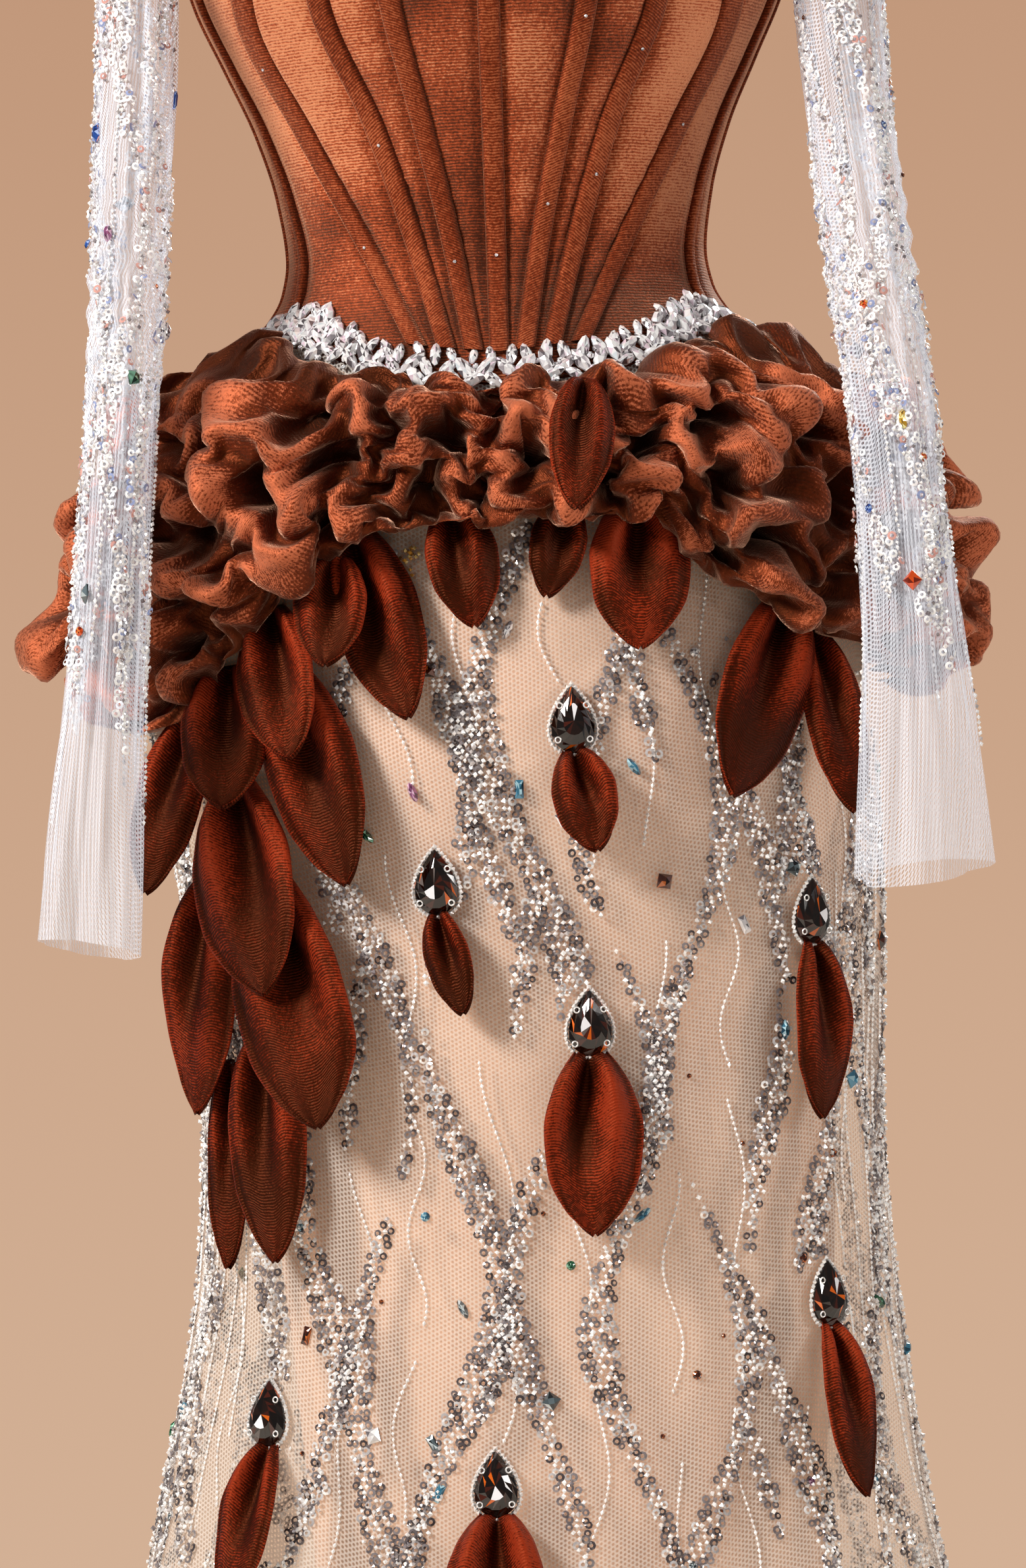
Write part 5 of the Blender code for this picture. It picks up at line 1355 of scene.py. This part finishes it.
# %% [markdown]
# No bead lies under the root of a leaf or under a stone, where it would push them off the net. So spots near
# those places are left out, measured in the front view.

# %% Keep the leaves' roots clear
def clear_of_leaves(places):
    """True where a place on the skirt isn't under a stone, or under the upper part of a leaf in front."""
    kept = np.ones(len(places), bool)
    for _, x, z, length, width, lean, *_ in HANGING:
        for s, reach in ((0.10, 0.34), (0.35, 0.40), (0.55, 0.30)):
            cx, cz = x + math.sin(math.radians(lean)) * length * s, z - math.cos(math.radians(lean)) * length * s
            near = np.hypot(places[:, 0] - cx, places[:, 2] - cz) < width * reach
            kept &= ~(near & (places[:, 1] < 0))
    for x, z, *_ in STONES:
        near = np.hypot((places[:, 0] - x) / 0.014, (places[:, 2] - z) / 0.019) < 1
        kept &= ~(near & (places[:, 1] < 0))
    return kept


# %% [markdown]
# ## Sequins and beads
#
# A ring sequin is clear plastic with a thin metal coat, grey with a little violet. It shows as a dark ring with
# a bright rim. The sleeves' sequins are pearl white. A seed bead is a short piece of clear glass tube, which
# sparkles in white. Both have only a few faces, because there are thousands of them.

# %% Sequins and beads
SEQUIN = new_glass("grey_violet_ring_sequin", 0.40, 0.3)
WHITE_SEQUIN = new_glass("pearl_white_ring_sequin", 0.08, 0.5)
SEED_BEAD = new_glass("clear_glass_seed_bead", 0.05, 1.0)
RING_SIDES = 8
wheel = circle(RING_SIDES)
ring_shape = np.concatenate([np.insert(wheel, 2, 0.0, axis=1), np.insert(wheel * 0.44, 2, 0.22, axis=1)])
step = np.arange(RING_SIDES)
after = (step + 1) % RING_SIDES
ring_faces = np.stack([step, after, RING_SIDES + after, RING_SIDES + step], 1)
BEAD_TINTS = ("#ffffff", "#ebe6e3", "#c2bab8", "#857c7e")
SKIRT_RINGS = ("#7a7173", "#958d8e", "#574f51", "#cdc8c8", "#f2efee"), (0.30, 0.22, 0.20, 0.14, 0.14)
SLEEVE_RINGS = ("#ffffff", "#8f9abf", "#f0ebea", "#cf9a90", "#d6d9e2"), (0.58, 0.09, 0.18, 0.06, 0.09)
BAND_BEADS, ROW_BEADS = (BEAD_TINTS, (0.52, 0.22, 0.15, 0.11)), (BEAD_TINTS, (0.70, 0.30, 0.0, 0.0))
SLEEVE_ROW_BEADS = BEAD_TINTS, (0.62, 0.2, 0.1, 0.08)
GOLD_BEADS = ("#c98f35", "#f0cf80", "#6e4514"), (0.5, 0.3, 0.2)


def sew(name, kind, places, axes, rng, palette, size, lean=18, stretch=1.0, glass=None):
    """Sew rings or beads at places: each is scattered with its own tilt, size and tint."""
    shape, faces = (ring_shape, ring_faces) if kind == "ring" else (bead_shape, bead_faces)
    axes = tilted(axes, lean, rng)
    width = size * rng.uniform(0.85, 1.12, len(places))
    points, index = scatter(shape, faces, places, axes, np.stack([width, width * stretch, width], 1))
    tint = np.repeat(pick(*palette, len(places), rng) * rng.uniform(0.85, 1.1, (len(places), 1)), len(shape), 0)
    glass = glass or (SEQUIN if kind == "ring" else SEED_BEAD)
    fit(add_piece(name, points, index, glass, tint=tint.clip(0, 1), faceted=True), "crystal")
    print(f"{name}: {len(places)} {kind}s")


def split_kinds(edge, rng):
    """True for a ring, false for a bead: rings are likelier near a band's edges."""
    return rng.random(len(edge)) < 0.16 + 0.74 * edge


rng = np.random.default_rng(44)
is_ring = split_kinds(spots[:, 2], rng)
SKIRT_WORK = (  # name, kind, where, palette, size, most tilt, least and most lift
    ("ring_sequins", "ring", is_ring, SKIRT_RINGS, 0.0022, 18, 0.0008, 0.0017),
    ("seed_beads", "bead", ~is_ring, BAND_BEADS, 0.0015, 40, 0.0014, 0.0026),
)
for half, chosen in halves(spots[:, 0]):
    for name, kind, wanted, palette, size, lean, low, high in SKIRT_WORK:
        angle, z, _ = spots[chosen & wanted].T
        places, axes = on_skirt(angle, z, rng.uniform(low, high, len(z)))
        kept = clear_of_leaves(places)
        sew(f"{name}_{half}", kind, places[kept], axes[kept], rng, palette, size, lean)
angle, z = bead_rows.T
places, axes = on_skirt(angle, z, np.full(len(z), 0.0010))
ahead = np.diff(places, axis=0, append=places[-1:] + (places[-1:] - places[-2:-1]))
lean = np.degrees(np.arctan2(-(ahead * axes[:, 0]).sum(-1), -(ahead * axes[:, 1]).sum(-1)))
axes = turned(axes, np.where(np.abs(lean) < 75, -lean, 0))
kept = clear_of_leaves(places)
sew("bead_rows", "bead", places[kept], axes[kept], rng, ROW_BEADS, 0.00095, 8, 1.45)

# %% [markdown]
# ## Sleeves: bands, edges and plain ends
#
# Each sleeve has bands of the same work along it, in white and pale blue and pink. They stop a hand's width above
# the open end, which stays plain tulle. A row of beads follows the sleeve's outer line on both sides.

# %% Sleeves: sequins and beads
SLEEVE_FRONT = {"left": 28, "right": 83}  # the grid's column that faces the front


def on_sleeve(hand, side, z, lift):
    """Places on a sleeve at degrees from its front and at heights, with their directions."""
    table = SLEEVE_TABLES[hand]
    row = CAP_ROWS + (table[0][0] - z) / (table[0][0] - table[-1][0]) * (ARM_ROWS - 1)
    places, axes = on_cloth(sleeves[hand], row, SLEEVE_FRONT[hand] + np.asarray(side) / 360 * SLEEVE_COLUMNS)
    return places + axes[:, 2] * np.reshape(lift, (-1, 1)), axes


rng = np.random.default_rng(52)
METRES_TO_DEGREES = 360 / 0.165
for hand in SLEEVE_TABLES:
    end = SLEEVE_TABLES[hand][-1][0]
    found, rows = [], []
    for band, middle in enumerate((-52, 8, 62, 128, 190, 248)):
        z, phase = 0.186 - rng.uniform(0, 0.03), rng.uniform(0, 6)
        stop = end + rng.uniform(0.095, 0.150)
        while z > stop + 0.03:
            length = min(rng.uniform(0.09, 0.20), z - stop)
            along, lane, edge = lanes(length, rng.uniform(0.011, 0.019), rng)
            height = z - along
            side = middle + 24 * np.sin(height * 2 * np.pi / 0.20 + phase) + lane * METRES_TO_DEGREES
            found.append(np.stack([side, height, edge], axis=1))
            z -= length + rng.uniform(-0.012, 0.012)
    along, lane, edge = lanes(0.075, 0.008, rng)
    found.append(np.stack([18 + lane * METRES_TO_DEGREES + 300 * along, end + 0.170 - along, edge], axis=1))
    found = np.concatenate(found)
    is_ring = split_kinds(found[:, 2], rng)
    for kind, wanted, palette, size, glass in (
        ("ring", is_ring, SLEEVE_RINGS, 0.0021, WHITE_SEQUIN), ("bead", ~is_ring, BAND_BEADS, 0.0013, SEED_BEAD),
    ):
        side, z, _ = found[wanted].T
        places, axes = on_sleeve(hand, side, z, rng.uniform(0.0006, 0.0020, len(z)))
        sew(f"sleeve_{kind}s_{hand}", kind, places, axes, rng, palette, size, 24, glass=glass)
    for middle, stop in ((-88, 0.060), (88, 0.060), (-20, 0.150), (36, 0.120), (150, 0.08), (215, 0.12)):
        z = np.arange(0.188, end + stop, -0.0027)
        rows.append(np.stack([middle + 5 * np.sin(z * 25 + middle) + rng.uniform(-1.5, 1.5, len(z)), z], axis=1))
    side, z = np.concatenate(rows).T
    places, axes = on_sleeve(hand, side, z, np.full(len(z), 0.0011))
    sew(f"sleeve_bead_rows_{hand}", "bead", places, axes, rng, SLEEVE_ROW_BEADS, 0.00105, 25, 1.3)

# %% [markdown]
# ## Loose stones
#
# Cut stones are strewn between the bands: pointed ovals, squares, bars and rounds, in aqua, green, rose, brown, grey
# and clear. On the skirt they take about three in four of the free cells of a coarse net of places. The sleeves have
# a few that are listed one by one, and the corset's strips have tiny clear ones.

# %% Loose stones
# Each colour: the stone's own colour, then a painted highlight and a painted shade for its facets.
STONE_COLOURS_AND_GLINTS = {
    "aqua": ("#3f7f9c", "#a9d0dc", "#1f4a60"), "green": ("#1f5a3c", "#7fb59a", "#0e2e22"),
    "rose": ("#8c4f78", "#e0b8d2", "#4a2440"), "brown": ("#4a1c0c", "#c4672a", "#200a04"),
    "orange": ("#d04a10", "#ffb060", "#6e1c06"), "yellow": ("#c79a2c", "#fbe6a0", "#6b4a10"),
    "blue": ("#2c55a8", "#a8c0ee", "#142a60"), "grey": ("#5c6a70", "#c8d2d4", "#22282c"),
    "clear": ("#d8d4d6", "#ffffff", "#6c676c"),
}
BAR = np.array([(1, 0.86), (0.86, 1), (-0.86, 1), (-1, 0.86), (-1, -0.86), (-0.86, -1), (0.86, -1), (1, -0.86)])
OUTLINES = {  # outline in units, then half width and half length in metres
    "marquise": (marquise(), 0.0048, 0.0052), "square": (circle(4, np.pi / 4), 0.0050, 0.0050),
    "bar": (BAR, 0.0022, 0.0046), "round": (circle(10), 0.0024, 0.0024), "dot": (circle(8), 0.0013, 0.0013),
    "tiny": (circle(6), 0.0009, 0.0009),
}


def set_stones(name, stones, places, axes, rng):
    """One piece with all the stones of a list of (outline, tint, turn), each facet in one of its three shades, the
    stone's own colour, a lighter painted highlight and a darker painted shade.
    """
    parts, tints = [], []
    for (kind, tint, turn), place, directions in zip(stones, places, axes):
        outline, half, long = OUTLINES[kind]
        shape, faces = cut_stone(outline, 0.58, 0.3)
        spun = turned(directions[None], turn)[0]
        parts.append((place + (shape * (half, long, 0.62 * min(half, long))) @ spun, faces))
        tints.append(facet_colours_and_glints(STONE_COLOURS_AND_GLINTS[tint], (0.5, 0.24, 0.26), len(faces), rng))
    fit(add_piece(name, *merged(parts), CRYSTAL, tint=np.concatenate(tints), faceted=True), "crystal")
    print(f"{name}: {len(stones)} stones")


rng = np.random.default_rng(64)
angle, z = np.meshgrid(np.arange(-180, 180, 15.0), np.arange(-0.20, -0.98, -0.055), indexing="ij")
angle = (angle + rng.uniform(-7, 7, angle.shape)).ravel()
z = (z + rng.uniform(-0.022, 0.022, z.shape)).ravel()
places, axes = on_skirt(angle, z, np.full(len(z), 0.0007))
kept = clear_of_leaves(places) & (rng.random(len(z)) < 0.72) & (z < peplum_low(angle) - 0.015)
kinds = rng.choice(("marquise", "square", "bar", "round", "dot"), len(z), p=(0.26, 0.20, 0.12, 0.18, 0.24))
palette = ("aqua", "green", "rose", "brown", "grey", "clear")
tints = rng.choice(palette, len(z), p=(0.20, 0.14, 0.12, 0.24, 0.16, 0.14))
turns = rng.uniform(-70, 70, len(z))
for half, chosen in halves(angle):
    use = np.flatnonzero(kept & chosen)
    stones = [(kinds[i], "brown" if kinds[i] == "dot" else tints[i], turns[i]) for i in use]
    set_stones(f"loose_stones_{half}", stones, places[use], axes[use], rng)

SLEEVE_STONES = {  # outline, tint, turn, degrees from the front, height
    "left": (
        ("marquise", "blue", 5, -72, 0.062), ("bar", "blue", 4, 80, 0.079), ("square", "green", 6, 22, -0.067),
        ("square", "grey", 30, -30, -0.173), ("round", "orange", 0, -44, -0.191), ("round", "blue", 0, -82, 0.004),
        ("marquise", "rose", 12, -28, 0.006), ("dot", "brown", 0, 40, 0.120), ("dot", "orange", 0, 60, -0.020),
        ("marquise", "clear", -10, 120, -0.040), ("square", "aqua", 45, 200, 0.030),
        ("round", "green", 0, 230, -0.090),
    ),
    "right": (
        ("bar", "orange", 3, 76, 0.073), ("round", "blue", 0, 40, 0.051), ("round", "orange", 0, -22, -0.042),
        ("marquise", "yellow", 8, 12, -0.100), ("round", "blue", 0, -50, -0.143), ("bar", "clear", -6, 50, -0.152),
        ("square", "orange", 45, 2, -0.179), ("round", "orange", 0, 30, -0.119), ("dot", "brown", 0, -60, 0.110),
        ("dot", "brown", 0, 66, 0.026), ("marquise", "aqua", 15, 130, 0.040), ("square", "rose", 45, 210, -0.060),
    ),
}
for hand, listed in SLEEVE_STONES.items():
    side, z = np.array([row[3:] for row in listed], float).T
    places, axes = on_sleeve(hand, side, z, np.full(len(z), 0.0010))
    set_stones(f"sleeve_stones_{hand}", [row[:3] for row in listed], places, axes, rng)

# %% [markdown]
# One small knot of gold beads is sewn where the peplum's lower edge turns down to the leaves.

# %% Gold beads
GOLD_KNOT, KNOT_SPREAD, KNOT_BEADS = (-15.5, -0.159), (1.1, 0.0036), 18  # angle and height, and their spread
rng = np.random.default_rng(68)
angle, z = (rng.normal(middle, spread, KNOT_BEADS) for middle, spread in zip(GOLD_KNOT, KNOT_SPREAD))
places, axes = on_skirt(angle, z, rng.uniform(0.002, 0.006, KNOT_BEADS))
sew("gold_bead_knot", "bead", places, axes, rng, GOLD_BEADS, 0.0013, 40)

# %% [markdown]
# The tiny stones on the strips are spread along each strip's middle at uneven steps.

# %% Stones on the corset's strips
rng = np.random.default_rng(71)
found = []
for sign, (_, reach) in [(s, strip) for s in (-1, 1) for strip in STRIPS] + [(1, ("", CENTRE_STRIP))]:
    share = rng.uniform((0.12, 0.5), (0.45, 0.92))
    found.append(np.stack([sign * strip_line(reach, 0.0, share), share], axis=1))
angle, share = np.concatenate(found).T
places, axes = on_body(angle, corset_height(angle, share), STRIP_RISE)
set_stones("strip_crystals", [("tiny", "clear", 0)] * len(angle), places, axes, rng)
